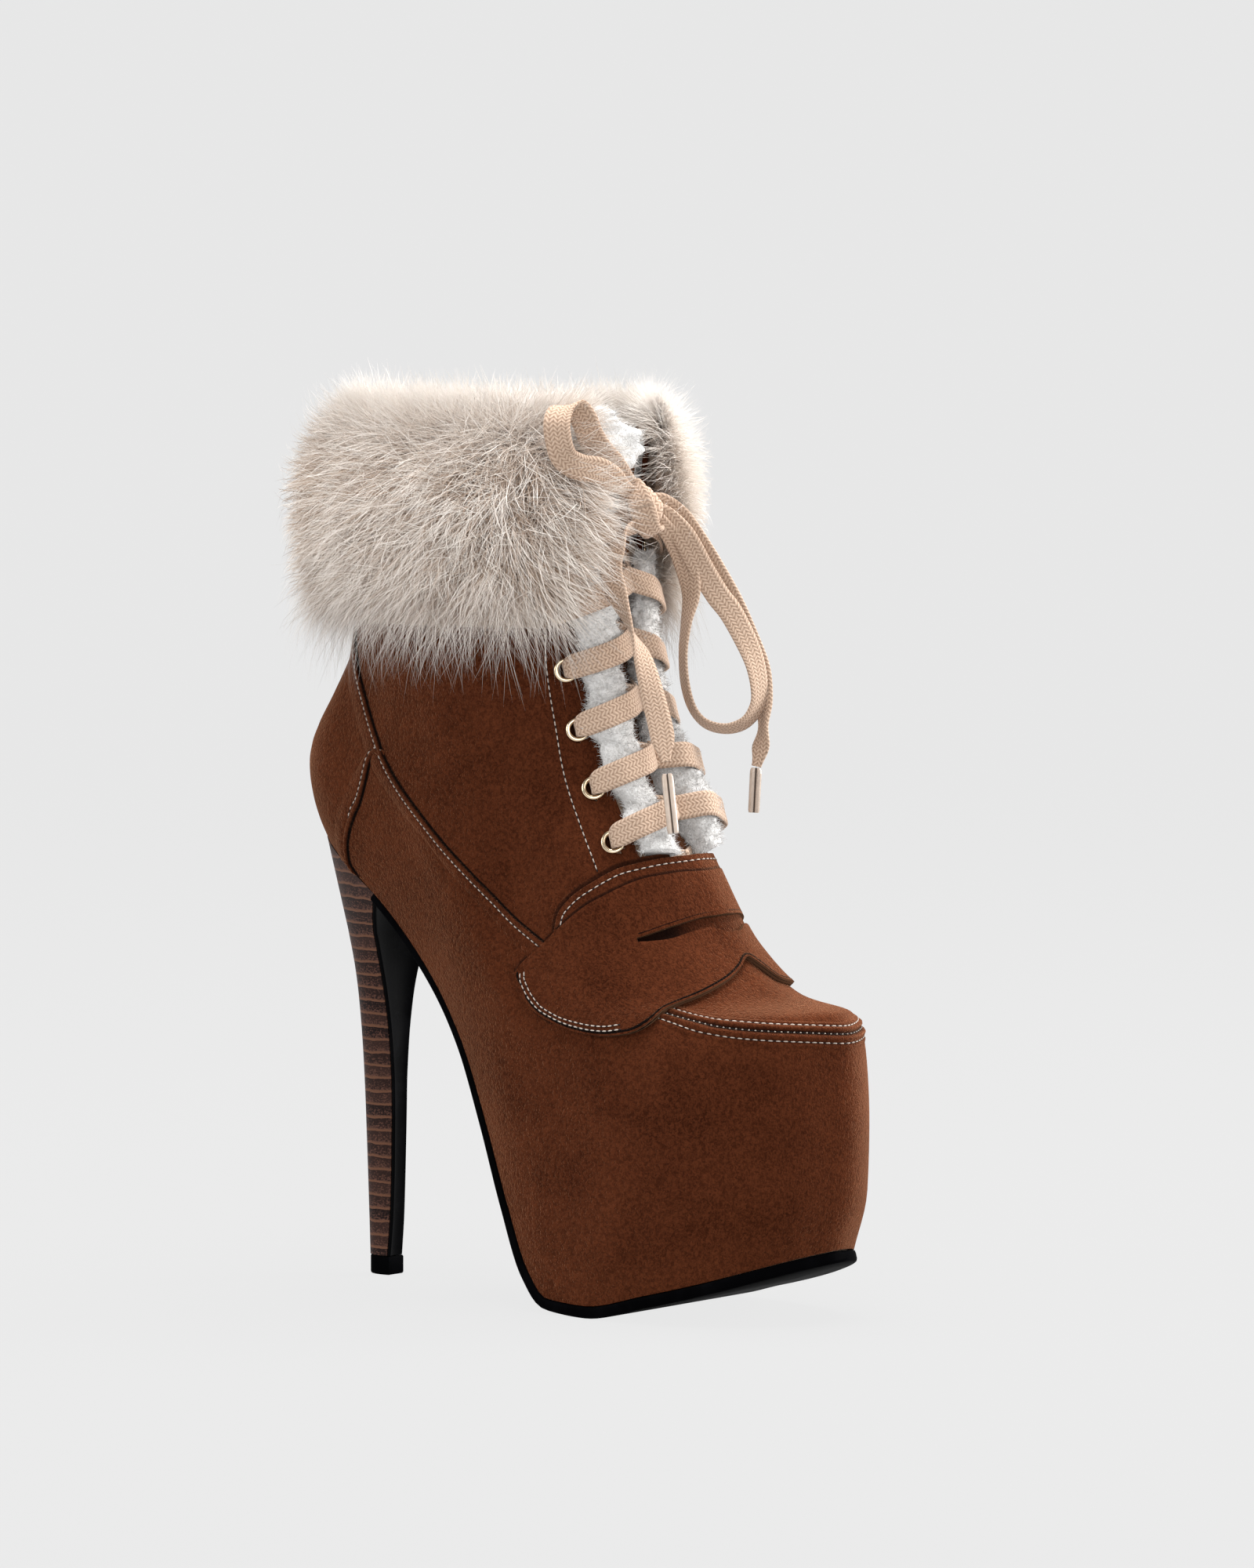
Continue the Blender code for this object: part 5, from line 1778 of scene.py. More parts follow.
@dataclass
class Throat:
    """Tongue, fleece rolls and eyelets."""

    last: Last
    bench: Bench
    tongue_rows: Pair = (6.2, 10.9)
    fleece_seed: Dict[Side, int] = field(default_factory=lambda: {Side.OUTER: 21, Side.INNER: 22})
    tongue_thick: float = 2.2
    tongue_sink: float = 4.4
    tongue_foot: float = 2.45
    fleece_aside: float = 6.9
    fleece_lift: float = 1.2
    fleece_high: float = 3.9
    fleece_foot: float = 7.02
    fleece_end: Dict[Side, float] = field(default_factory=lambda: {Side.OUTER: 11.0, Side.INNER: 9.9})
    over_collar: Dict[Side, float] = field(default_factory=lambda: {Side.OUTER: 10.0, Side.INNER: 2.0})
    # ring number, half width toward the middle of the throat, half width over the suede, half height
    fleece_spread: Dict[Side, Table] = field(
        default_factory=lambda: {
            Side.OUTER: (
                (7.0, 6.0, 7.5, 3.9),
                (8.0, 6.0, 8.8, 3.9),
                (9.4, 6.5, 8.0, 4.2),
                (10.2, 13.0, 9.0, 4.5),
                (11.0, 19.5, 7.0, 5.0),
            ),
            Side.INNER: (
                (7.0, 6.0, 8.5, 4.6),
                (7.5, 6.0, 10.0, 8.6),
                (7.9, 6.0, 10.5, 8.0),
                (8.4, 6.0, 10.5, 5.0),
                (9.4, 6.0, 10.5, 4.2),
                (9.9, 4.5, 7.0, 2.4),
            ),
        }
    )
    curl_count: int = 9500
    ring: float = 3.45
    wire: float = 0.82

    def tongue(self) -> None:
        """Suede tongue behind the lace."""
        piece, i, j = self.bench.grid("suede_tongue", 40, 90)
        rows = np.linspace(*self.tongue_rows, 91)
        up = rows - self.tongue_rows[0]
        across = np.linspace(-1.0, 1.0, 41)
        half = 0.20 + 0.06 * ease(up / 3.0)
        sink = self.tongue_foot + (self.tongue_sink - self.tongue_foot) * ease(up / 0.7)
        self.bench.bend(piece, self.last.lifted(across[i] * half[j], rows[j], -sink[j]))
        self.bench.dress(piece, (TONGUE_SUEDE, PILE))
        self.bench.thicken(piece, self.tongue_thick, False, lining=1)
        self.bench.round_edges(piece, 0.6)
        self.bench.finish(piece, (TONGUE_SUEDE, PILE), ("tongue",))

    def roll_place(self, v: np.ndarray, side: Side) -> np.ndarray:
        """Distance from the front to the middle of a fleece roll."""
        edge, step = self.last.throat.at(v), 0.05
        reach = np.linalg.norm(self.last.skin(edge, v) - self.last.skin(edge - step, v), axis=-1) / step
        return side.value * (edge - self.fleece_aside / reach)

    def puff(self, side: Side) -> Curve:
        """Half height of a fleece roll over the rings."""
        return Curve.of(self.fleece_spread[side], 3)

    def fleece(self, side: Side) -> None:
        """Lumpy roll with loose curls along one edge of the throat, up over the collar."""
        chance = np.random.default_rng(self.fleece_seed[side])
        rows = np.linspace(self.fleece_foot, self.fleece_end[side], 230)
        collar = self.over_collar[side]
        rise = np.linspace(0.0, collar, 24)[1:]
        over = np.concatenate([np.zeros(len(rows)), rise])
        v = np.concatenate([rows, np.full(len(rise), self.fleece_end[side])])
        u = self.roll_place(v, side)
        round_way, up_way, normal = self.last.ways(u, v)
        round_way, up_way = unit(round_way), unit(up_way)
        middle, suede = (Curve.of(self.fleece_spread[side], column).at(v) for column in (1, 2))
        turn = np.linspace(0.0, 2.0 * math.pi, 49)[:-1]
        aside = np.sin(turn)[None, :] * side.value
        ragged = [1.0 + 0.20 * self._waver(chance, len(v), step) for step in (9, 7)]
        wide = np.where(aside > 0.0, (suede * ragged[0])[:, None], (middle * ragged[1])[:, None])
        close = np.sqrt(np.clip(1.0 - (over / (collar + 0.4)) ** 2, 0.0, 1.0))
        swell = self._lumps(chance, len(v), len(turn)) * close[:, None]
        lift = self.fleece_lift + np.cos(turn)[None, :] * self.puff(side).at(v)[:, None] * swell
        resting = np.where(aside > 0.55, np.maximum(lift, 0.25), lift)
        centre = self.last.skin(u, v) + UPWARD * over[:, None]
        out = np.cos(turn)[None, :, None] * normal[:, None, :]
        out = unit(out + np.sin(turn)[None, :, None] * round_way[:, None, :])
        rings = (
            centre[:, None, :]
            + resting[..., None] * normal[:, None, :]
            + (np.sin(turn)[None, :] * wide * swell)[..., None] * round_way[:, None, :]
        )
        piece = self.bench.solid("fleece_roll_" + side.word, rings)
        self.bench.finish(piece, (FLEECE,), ("fleece_" + side.word,), angle=ALL_SMOOTH)
        self._curls(chance, side, rings, out, up_way)

    @staticmethod
    def _waver(chance: np.random.Generator, steps: int, spacing: int) -> np.ndarray:
        """Uneven wave along the roll, between about -1 and 1."""
        knots = np.arange(0, steps + spacing, spacing)
        return Curve(knots, chance.uniform(-1.0, 1.0, len(knots))).at(np.arange(steps))

    @staticmethod
    def _lumps(chance: np.random.Generator, steps: int, around: int) -> np.ndarray:
        """Swelling of the roll at each point: clumps of a few sizes."""
        swell = np.ones((steps, around))
        place = np.arange(steps)[:, None]
        turn = np.arange(around)[None, :]
        for size, height, count in ((6.5, 0.18, 165), (3.2, 0.19, 720)):
            for _ in range(count):
                k, a = chance.uniform(0, steps), chance.uniform(0, around)
                gap = np.abs(turn - a)
                gap = np.minimum(gap, around - gap)
                away = ((place - k) / size) ** 2 + (gap / (0.75 * size)) ** 2
                swell += chance.uniform(-0.7, 1.0) * height * np.exp(-away)
        return np.clip(swell, 0.72, 1.30)

    def _curls(
        self,
        chance: np.random.Generator,
        side: Side,
        rings: np.ndarray,
        out: np.ndarray,
        up_way: np.ndarray,
    ) -> None:
        """Short loose fibres standing off the roll.

        Args:
            chance: Source of random numbers.
            side: Side of the throat.
            rings: Points of the roll.
            out: Direction away from the roll at each point.
            up_way: Direction along the roll at each ring.
        """
        steps, around = rings.shape[:2]
        count = self.curl_count
        k = chance.integers(0, steps, count)
        a = chance.integers(0, around, count)
        root = rings[k, a] - 0.4 * out[k, a]
        wander = unit(chance.normal(size=(count, 3)))
        way = unit(out[k, a] + 0.8 * wander + 0.2 * up_way[k] * chance.normal(size=(count, 1)))
        bend = unit(np.cross(way, unit(chance.normal(size=(count, 3)))))
        length = chance.uniform(1.1, 3.0, (count, 1))
        share = np.linspace(0.0, 1.0, 4)[None, :, None]
        curve = share * way[:, None, :] + 0.55 * share**2 * bend[:, None, :]
        paths = root[:, None, :] + length[:, None, :] * curve
        widths = chance.uniform(0.20, 0.42, count)
        tones = chance.random(count)
        curls = self.bench.strands("fleece_curls_" + side.word, paths, bend, widths, tones)
        self.bench.finish(curls, (FLEECE,), angle=ALL_SMOOTH)

    def eyelets(self) -> None:
        """One rolled ring, copied to every lace hole."""
        bpy.ops.object.select_all(action="DESELECT")
        bpy.ops.mesh.primitive_torus_add(
            major_segments=36,
            minor_segments=12,
            major_radius=self.ring * MM,
            minor_radius=self.wire * MM,
        )
        pattern = bpy.context.object
        bpy.ops.object.mode_set(mode="EDIT")
        bpy.ops.mesh.select_all(action="SELECT")
        bpy.ops.transform.resize(value=(1.0, 1.0, 0.8))
        bpy.ops.object.mode_set(mode="OBJECT")
        for side in Side:
            for number, row in enumerate(EYELET_ROWS, start=1):
                place, normal = eyelet_place(self.last, row, side)
                ring = pattern.copy()
                ring.data = pattern.data.copy()
                ring.name = "eyelet_ring_%s_%d" % (side.word, number)
                ring.data.name = ring.name
                bpy.context.scene.collection.objects.link(ring)
                turn = Vector(normal).to_track_quat("Z", "Y").to_matrix().to_4x4()
                turn.translation = Vector(self.bench.place(place + normal * 0.85))
                ring.data.transform(turn)
                self.bench.finish(ring, (METAL,), ("eyelet_%s_%d" % (side.word, number),), angle=ALL_SMOOTH)
        bpy.data.objects.remove(pattern)

    def build(self) -> None:
        """Tongue, rolls and rings."""
        self.tongue()
        for side in Side:
            self.fleece(side)
        self.eyelets()


@dataclass
class Lacing:
    """Flat lace through the eyelets, its knot, loops, ends and tags."""

    last: Last
    bench: Bench
    throat: Throat
    width: float = 8.0
    thick: float = 1.15
    run_width: float = 8.8
    gathered: float = 5.6
    over_fleece: float = 7.3
    under_fleece: float = -3.55
    knot_place: Place = (119.8, -1.7, 276.3)
    # Bends of the bow from the knot, seen by the camera: right, up, near, then the way of the lace's width
    loop_outer: Table = (
        (6.3, -3.9, -1.0, 0.70, 0.70, 0.00),
        (12.9, -12.1, -5.0, 0.78, 0.60, 0.20),
        (16.4, -21.0, -7.0, 0.90, 0.30, 0.35),
        (17.8, -30.1, -7.5, 0.70, 0.05, 0.70),
        (16.2, -39.4, -7.5, 0.38, 0.00, 0.92),
        (15.1, -50.4, -8.0, 0.28, 0.00, 0.95),
        (15.9, -61.4, -8.5, 0.30, 0.05, 0.95),
        (18.6, -69.9, -9.5, 0.25, 0.15, 0.95),
        (23.3, -74.9, -10.5, 0.10, 0.35, 0.93),
        (30.1, -76.6, -11.5, 0.00, 0.42, 0.90),
        (36.4, -74.7, -11.5, -0.12, 0.50, 0.85),
        (40.3, -70.0, -11.0, -0.45, 0.35, 0.80),
        (41.6, -64.2, -10.5, -0.65, 0.05, 0.75),
        (40.5, -55.4, -10.0, -0.75, -0.20, 0.62),
        (37.5, -47.2, -9.5, -0.80, -0.42, 0.42),
        (31.8, -36.4, -8.5, -0.82, -0.52, 0.25),
        (26.8, -29.8, -7.5, -0.80, -0.58, 0.15),
        (21.4, -20.9, -6.0, -0.80, -0.60, 0.00),
        (16.2, -11.2, -4.0, -0.78, -0.60, -0.10),
        (10.4, -3.2, -3.0, -0.62, -0.75, -0.10),
        (6.3, -0.7, -2.0, -0.40, -0.90, 0.00),
    )
    loop_upper: Table = (
        (-3.3, 5.2, 4.0, 0.70, 0.70, 0.00),
        (-8.2, 9.4, 11.0, 0.62, 0.78, 0.00),
        (-14.0, 13.2, 17.0, 0.50, 0.86, 0.00),
        (-20.4, 14.4, 21.0, 0.35, 0.92, 0.10),
        (-25.6, 17.6, 23.5, 0.72, 0.65, 0.15),
        (-27.8, 24.0, 24.5, 0.96, 0.20, 0.15),
        (-28.2, 30.4, 24.0, 0.99, 0.05, 0.10),
        (-26.4, 34.4, 20.5, 0.99, 0.10, 0.05),
        (-22.4, 34.8, 17.0, 0.97, 0.20, 0.10),
        (-19.2, 31.0, 15.5, 0.95, 0.28, 0.10),
        (-16.4, 24.2, 14.0, 0.90, 0.40, 0.10),
        (-11.8, 17.8, 11.0, 0.82, 0.55, 0.05),
        (-6.3, 12.0, 6.5, 0.74, 0.66, 0.00),
        (-2.5, 7.6, 2.0, 0.70, 0.70, 0.00),
    )
    end_outer: Table = (
        (4.7, 2.6, -3.0, 0.30, 0.95, 0.00),
        (8.5, 2.0, -5.0, 0.50, 0.85, 0.00),
        (14.0, -3.7, -8.0, 0.72, 0.68, 0.10),
        (20.5, -13.0, -10.5, 0.80, 0.55, 0.20),
        (26.6, -23.2, -12.5, 0.85, 0.50, 0.15),
        (32.1, -33.2, -14.0, 0.86, 0.45, 0.20),
        (37.0, -44.2, -15.0, 0.88, 0.40, 0.25),
        (41.4, -55.8, -15.5, 0.90, 0.30, 0.30),
        (43.0, -66.7, -15.0, 0.75, 0.10, 0.65),
        (43.0, -76.2, -14.0, 0.32, 0.00, 0.95),
        (41.9, -84.3, -12.5, 0.80, 0.10, 0.60),
        (40.6, -89.8, -12.0, 0.92, 0.10, 0.35),
    )
    end_inner: Table = (
        (-0.8, -5.8, 4.0, 0.20, 0.95, 0.20),
        (-5.2, -8.3, 7.0, 0.55, 0.75, 0.35),
        (-8.8, -14.5, 9.0, 0.90, 0.20, 0.40),
        (-9.9, -20.7, 10.0, 0.90, -0.10, 0.40),
        (-7.9, -28.9, 10.5, 0.85, -0.25, 0.45),
        (-3.6, -39.6, 11.0, 0.30, -0.12, 0.95),
        (1.1, -51.3, 11.5, -0.75, 0.25, 0.60),
        (4.7, -64.9, 13.0, -0.95, 0.25, 0.15),
        (7.4, -75.8, 15.0, -0.97, 0.22, 0.00),
        (9.0, -86.4, 17.5, -0.97, 0.20, 0.00),
    )
    tag_outer: Table = ((40.5, -90.2, -12.0), (39.7, -105.8, -12.0))
    tag_inner: Table = ((9.4, -90.6, 18.6), (11.5, -110.6, 24.0))
    # Sections of the lace and of a tag with its fold: share of the half width, share of the half thickness
    section: Table = ring_section(((-0.95, 0.72), (-0.70, 1.0), (-0.25, 0.94)))
    tag_section: Table = ring_section(((-0.88, 0.72), (-0.50, 1.0), (-0.16, 0.80)), ((0.0, 0.45),))
    tag_size: Pair = (4.2, 2.9)
    # Half height and half width of the knot, and width and thickness of its band
    knot_half: Pair = (5.8, 9.2)
    knot_band: Pair = (9.4, 2.1)

    def ribbon(
        self,
        name: str,
        path: np.ndarray,
        wide: np.ndarray,
        width: np.ndarray,
        thick: np.ndarray,
        wrap: bool = False,
        section: Optional[Table] = None,
    ) -> Piece:
        """Body of a lace along a path.

        Args:
            name: Name of the piece.
            path: Middle line.
            wide: Direction of the width at each point.
            width: Full width at each point.
            thick: Full thickness at each point.
            wrap: Whether the path is a closed loop.
            section: Outline of the section, where it isn't the usual one.

        Returns:
            The object.
        """
        ahead = unit(np.gradient(path, axis=0))
        if wrap:
            ahead = unit(np.roll(path, -1, axis=0) - np.roll(path, 1, axis=0))
        wide = unit(wide - np.sum(wide * ahead, axis=1, keepdims=True) * ahead)
        face = np.cross(wide, ahead)
        shape = np.array(section or self.section)
        rings = (
            path[:, None, :]
            + 0.5 * (width[:, None] * shape[None, :, 0])[..., None] * wide[:, None, :]
            + 0.5 * (thick[:, None] * shape[None, :, 1])[..., None] * face[:, None, :]
        )
        uv = np.empty(rings.shape[:2] + (2,))
        uv[..., 0] = 0.5 + 0.5 * shape[None, :, 0] * width[:, None] / self.width
        uv[..., 1] = (travel(path) / self.width)[:, None]
        return self.bench.solid(name, rings, wrap, uv)

    def crossing(self, side: Side, row: float, above: float, last_row: bool) -> List[np.ndarray]:
        """Bends of one strand from under its eyelet across the throat.

        Args:
            side: Side of the eyelet that it comes out of.
            row: Ring number of that eyelet.
            above: Extra height where strands cross.
            last_row: Whether it then runs to the knot.

        Returns:
            Points of the strand.
        """
        eye = abs(self.last.throat.at(row)) + EYELET_ASIDE
        roll = abs(self.throat.roll_place(row + 0.2, Side.INNER))
        sign = side.value
        puff = float(self.throat.puff(side).at(row + 0.19)) - self.throat.fleece_high
        crest = self.over_fleece + puff
        bends = [
            (sign * (eye - 0.055), row - 0.10, self.under_fleece + 0.1),
            (sign * (eye - 0.006), row, -1.6),
            (sign * eye, row + 0.005, 0.4),
            (sign * (eye - 0.008), row + 0.03, 4.1),
            (sign * (roll + 0.042), row + 0.11, crest - 0.1),
            (sign * roll, row + 0.19, crest + 0.3 * above),
            (sign * (roll - 0.040), row + 0.26, crest - 1.0 + 0.5 * above),
            (sign * 0.006, row + 0.34, 2.1 + above),
        ]
        if not last_row:
            bends += [
                (-sign * 0.026, row + 0.39, -0.9 + 0.3 * above),
                (-sign * 0.055, row + 0.43, self.under_fleece + 0.9),
                (-sign * 0.085, row + 0.46, self.under_fleece + 0.1),
            ]
        return [self.last.lifted(u, v, lift) for u, v, lift in bends]

    def runs(self) -> None:
        """The two halves of the lace from the hidden bar under the lowest eyelets to the knot."""
        nodes = ["lace_cross_%d" % k for k in range(1, len(EYELET_ROWS))] + ["lace_bar"]
        for first, word in ((Side.OUTER, "a"), (Side.INNER, "b")):
            side = first
            bends: List[np.ndarray] = [self.last.lifted(0.0, EYELET_ROWS[0] - 0.14, self.under_fleece)]
            for number, row in enumerate(EYELET_ROWS):
                over = 1.3 if side is Side.OUTER else 0.0
                bends += self.crossing(side, row, over, number == len(EYELET_ROWS) - 1)
                side = Side(-side.value)
            bends.append(np.array(self.knot_place) + np.array((-2.0, 0.0, -3.0)))
            path = spline(np.array(bends), 1.1)
            wide = self.last.ways(0.0, 8.5)[1][None, :] * np.ones((len(path), 1))
            holes = [eyelet_place(self.last, row, each)[0] for row in EYELET_ROWS for each in Side]
            near = np.min([np.linalg.norm(path - hole, axis=1) for hole in holes], axis=0)
            gather = ease((near - 1.0) / 5.0)
            width = self.gathered + (self.run_width - self.gathered) * gather
            thick = self.thick * (1.9 - 0.9 * gather)
            piece = self.ribbon("lace_run_" + word, path, wide, width, thick)
            self.bench.finish(piece, (LACE,), nodes if word == "a" else (), angle=ROUNDED)

    def knot(self) -> Piece:
        """Band wrapped round the gathered strands."""
        centre = np.array(self.knot_place)
        slant = unit(0.46 * RIGHT_OF_VIEW - 0.89 * UPWARD)
        axis = unit(np.cross(slant, TOWARD_VIEW))
        turn = np.linspace(0.0, 2.0 * math.pi, 57)[:-1]
        near, low = self.knot_half
        broad, thick = self.knot_band
        path = centre + near * np.cos(turn)[:, None] * TOWARD_VIEW + low * np.sin(turn)[:, None] * slant
        path = path + axis * (1.6 * np.sin(turn) * np.cos(turn))[:, None] + 0.8 * RIGHT_OF_VIEW
        wide = axis[None, :] * np.ones((len(turn), 1))
        width = broad - 2.2 * np.abs(np.sin(turn)) ** 2
        band = self.ribbon("knot_band", path, wide, width, np.full(len(turn), thick), True)
        steps = np.linspace(-1.0, 1.0, 15)
        path = centre + axis * (steps * 7.2)[:, None] + slant * (1.6 * steps)[:, None]
        wide = slant[None, :] * np.ones((len(steps), 1))
        swell = np.sqrt(np.maximum(1.0 - (0.94 * steps) ** 2, 0.0))
        core = self.ribbon("knot_core", path, wide, 15.0 * swell + 1.5, 8.6 * swell + 1.0)
        self.bench.only(band, core)
        bpy.ops.object.join()
        return self.bench.finish(band, (LACE,), ("lace_knot",), angle=ROUNDED)

    def from_knot(self, rows: np.ndarray) -> np.ndarray:
        """Points given as right, up and near from the knot, on the boot's own datum."""
        return np.array(self.knot_place) + np.asarray(rows, float)[..., :3] @ VIEW

    def bow(self) -> None:
        """Loops and ends as separate ribbons, each with its own length, and the tags."""
        knot = self.knot()
        bends = {
            "lace_loop_outer": self.loop_outer,
            "lace_loop_upper": self.loop_upper,
            "lace_end_outer": self.end_outer,
            "lace_end_inner": self.end_inner,
        }
        tags = {
            "lace_end_outer": self.tag("tag_outer", self.tag_outer),
            "lace_end_inner": self.tag("tag_inner", self.tag_inner),
        }
        for node, table in bends.items():
            rows = np.array(table)
            both = spline(np.hstack([self.from_knot(rows), 6.0 * rows[:, 3:] @ VIEW]), 1.3)
            path, wide = both[:, :3], both[:, 3:]
            away = travel(path)
            length = away[-1]
            free = away if node in tags else np.minimum(away, length - away)
            broad = 1.16 if node == "lace_loop_upper" else 1.06
            width = self.width * (0.72 + (broad - 0.72) * ease((free - 2.0) / 12.0))
            if node in tags:
                width = width * (0.42 + 0.58 * ease((length - away) / 9.0))
            piece = self.ribbon(node + "_ribbon", path, wide, width, np.full(len(path), self.thick))
            self.bench.finish(piece, (LACE,), (node,), angle=ROUNDED)
            self.bench.place(path[0])
            self.bench.place(path)
            LOG.info("%s is %.0f mm long", node, length)

    def tag(self, name: str, ends: Table) -> Piece:
        """Film tag: a flattened tube with a pinched top and a cut foot."""
        top, foot = self.from_knot(np.array(ends))
        shares = np.array((0.0, 0.06, 0.16, 0.5, 0.94, 1.0))
        swell = np.array((0.78, 0.98, 1.0, 0.98, 0.96, 0.86))
        path = top + (foot - top) * shares[:, None]
        wide = np.cross(TOWARD_VIEW, unit(foot - top))[None, :] * np.ones((len(shares), 1))
        width, thick = (size * swell for size in self.tag_size)
        piece = self.ribbon(name + "_film", path, wide, width, thick, section=self.tag_section)
        return self.bench.finish(piece, (TAG,), (name,))

    def build(self) -> None:
        """Runs, knot and bow."""
        self.runs()
        self.bow()


@dataclass(frozen=True)
class Coat:
    """One kind of hair of the cuff."""

    name: str
    seed: int
    count: int
    steps: int
    heights: Pair
    stretch: Pair
    width: Pair
    gather: float
    loose: float
    pale: float
    droop: float = 0.22
    lean: float = 0.0


@dataclass
class FurCuff:
    """Deep fur band: a backing, short fur, guard hairs in locks, stray hairs, a top rim and hem hairs."""

    last: Last
    bench: Bench
    cloth_start: float = 0.225
    collar: float = 301.9
    inside: Tuple[float, ...] = (307.0, 285.0, 258.0, 235.0)
    # height, where the hair starts beside the throat on the outer side and on the inner side
    start: Table = (
        (226.0, 0.235, 0.235), (240.0, 0.212, 0.212), (255.0, 0.185, 0.190), (268.0, 0.155, 0.150),
        (285.0, 0.150, 0.112), (312.0, 0.150, 0.105),
    )
    # height, thickness of the backing, length of the hair
    profile: Table = (
        (236.0, 1.5, 12.0), (240.0, 4.0, 15.0), (254.0, 6.0, 21.0), (272.0, 6.5, 22.0),
        (290.0, 5.5, 20.0), (303.0, 3.0, 15.5), (310.0, 0.8, 12.5),
    )
    over_fleece: float = 4.5
    reach: Pair = (16.5, 18.5)
    coats: Tuple[Coat, ...] = (
        Coat("fur_short", 31, 27000, 3, (246.0, 311.0), (0.40, 0.75), (0.26, 0.48), 0.30, 0.30, 0.20),
        Coat("fur_guard", 51, 24000, 4, (247.0, 311.0), (0.80, 1.38), (0.14, 0.27), 0.52, 0.36, 0.60),
        Coat("fur_stray", 111, 3500, 5, (248.0, 310.0), (0.95, 1.45), (0.26, 0.40), 0.12, 0.52, 0.92),
        Coat("fur_rim", 71, 6000, 4, (303.0, 311.0), (0.75, 1.1), (0.16, 0.32), 0.15, 0.42, 0.85, -0.3, 0.25),
        Coat("fur_hem", 91, 2000, 5, (242.0, 254.0), (1.15, 2.20), (0.11, 0.18), 0.05, 0.50, 0.95, 0.5),
    )
    lock_size: float = 5.5
    girth: float = 240.0
    # How far a lock leans backward and downward and how much its length differs
    lock_sway: Place = (0.32, 0.26, 0.10)
    # Evenness of the hair from the throat to the back
    spread: Dict[Side, float] = field(default_factory=lambda: {Side.OUTER: 1.0, Side.INNER: 1.35})

    def face(self, u: np.ndarray, height: np.ndarray) -> Tuple[np.ndarray, np.ndarray, np.ndarray]:
        """Surface of the backing.

        Args:
            u: Places round the boot, from the inner front by the back to the outer front (up to 2).
            height: Heights.

        Returns:
            Points, level outward directions, and level directions toward the back of the boot.
        """
        v = self.last.ring_at_height(u, np.minimum(height, self.collar))
        round_way, _, normal = self.last.ways(u, v)
        normal = normal.copy()
        normal[..., 2] = 0.0
        normal = unit(normal)
        front = np.minimum(u, 2.0 - u)
        thick = Curve.of(self.profile).at(height) * ease((front - 0.17) / 0.12)
        thick = np.maximum(thick, self.over_fleece * ease((0.21 - front) / 0.04))
        point = self.last.skin(u, v) + normal * (0.6 + thick)[..., None]
        point[..., 2] = height
        round_way = round_way.copy()
        round_way[..., 2] = 0.0
        backward = unit(round_way) * np.where(u <= 1.0, 1.0, -1.0)[..., None]
        return point, normal, backward

    def backing(self) -> None:
        """Cloth body under the hair."""
        columns = np.linspace(self.cloth_start, 2.0 - self.cloth_start, 120)
        heights = np.array(list(self.inside) + [row[0] for row in self.profile])
        rings = np.empty((len(columns), len(heights), 3))
        for k, height in enumerate(heights):
            point, normal, _ = self.face(columns, np.full(len(columns), height))
            if k < len(self.inside):
                level = self.last.ring_at_height(columns, np.full(len(columns), min(height, self.collar)))
                skin = self.last.skin(columns, level)
                point[:, :2] = skin[:, :2] + 0.3 * normal[:, :2]
            rings[:, k] = point
        piece = self.bench.solid("cuff_backing", rings)
        self.bench.finish(piece, (FUR_BACKING,), ("fur_cuff",), angle=ALL_SMOOTH)

    @staticmethod
    def flow(front: np.ndarray, height: np.ndarray, side: Side) -> Tuple[np.ndarray, np.ndarray, np.ndarray]:
        """How the hair is combed.

        Args:
            front: Place from the front (0) to the back (1) of the boot.
            height: Heights.
            side: Half of the boot.

        Returns:
            Pull toward the back, pull downward and push outward.
        """
        places = (0.10, 0.15, 0.23, 0.31, 0.45, 0.65, 0.90, 1.0)
        pulls = {
            Side.OUTER: (-1.20, -1.20, -0.75, 0.0, 0.45, 0.65, 0.35, 0.0),
            Side.INNER: (-0.60, -0.45, 0.10, 0.30, 0.45, 0.65, 0.35, 0.0),
        }
        back = Curve(places, pulls[side]).at(front)
        levels = (230.0, 245.0, 262.0, 282.0, 296.0, 304.0, 312.0)
        down = Curve(levels, (1.25, 1.05, 0.75, 0.40, 0.05, -0.40, -0.90)).at(height)
        out = Curve(levels, (0.40, 0.72, 0.90, 0.85, 0.52, 0.10, -0.45)).at(height)
        return back, down, out

    def hair(self, coat: Coat, side: Side) -> None:
        """One coat of hair on one half of the cuff.

        Args:
            coat: Kind of hair.
            side: Half of the boot.
        """
        chance = np.random.default_rng(coat.seed + int(side.value))
        count, steps = coat.count, coat.steps
        height = chance.uniform(*coat.heights, count)
        first = Curve.of(self.start, 1 if side is Side.OUTER else 2).at(height)
        front = first + (1.0 - first) * chance.uniform(0.0, 1.0, count) ** self.spread[side]
        root, out, backward = self.face(front if side is Side.INNER else 2.0 - front, height)
        lock = np.floor(front * self.girth / self.lock_size) * 1000.0 + np.floor(height / self.lock_size)
        keys, number = np.unique(lock, return_inverse=True)
        tilt = chance.normal(0.0, 1.0, (len(keys), 3))[number]
        sums = np.zeros((len(keys), 3))
        np.add.at(sums, number, root)
        middle = (sums / np.bincount(number)[:, None])[number]
        back, down, push = self.flow(front, height, side)
        sway = tilt * np.array(self.lock_sway)
        comb = backward * (back + sway[:, 0])[:, None] - UPWARD * (down + sway[:, 1])[:, None]
        stray = chance.normal(0.0, coat.loose, (count, 3))
        stretch = chance.uniform(*coat.stretch, count)
        length = Curve.of(self.profile, 2).at(height) * stretch * (1.0 + sway[:, 2])
        paths = np.empty((count, steps, 3))
        paths[:, 0] = root - out * 1.0
        for k in range(1, steps):
            t = (k - 0.5) / (steps - 1)
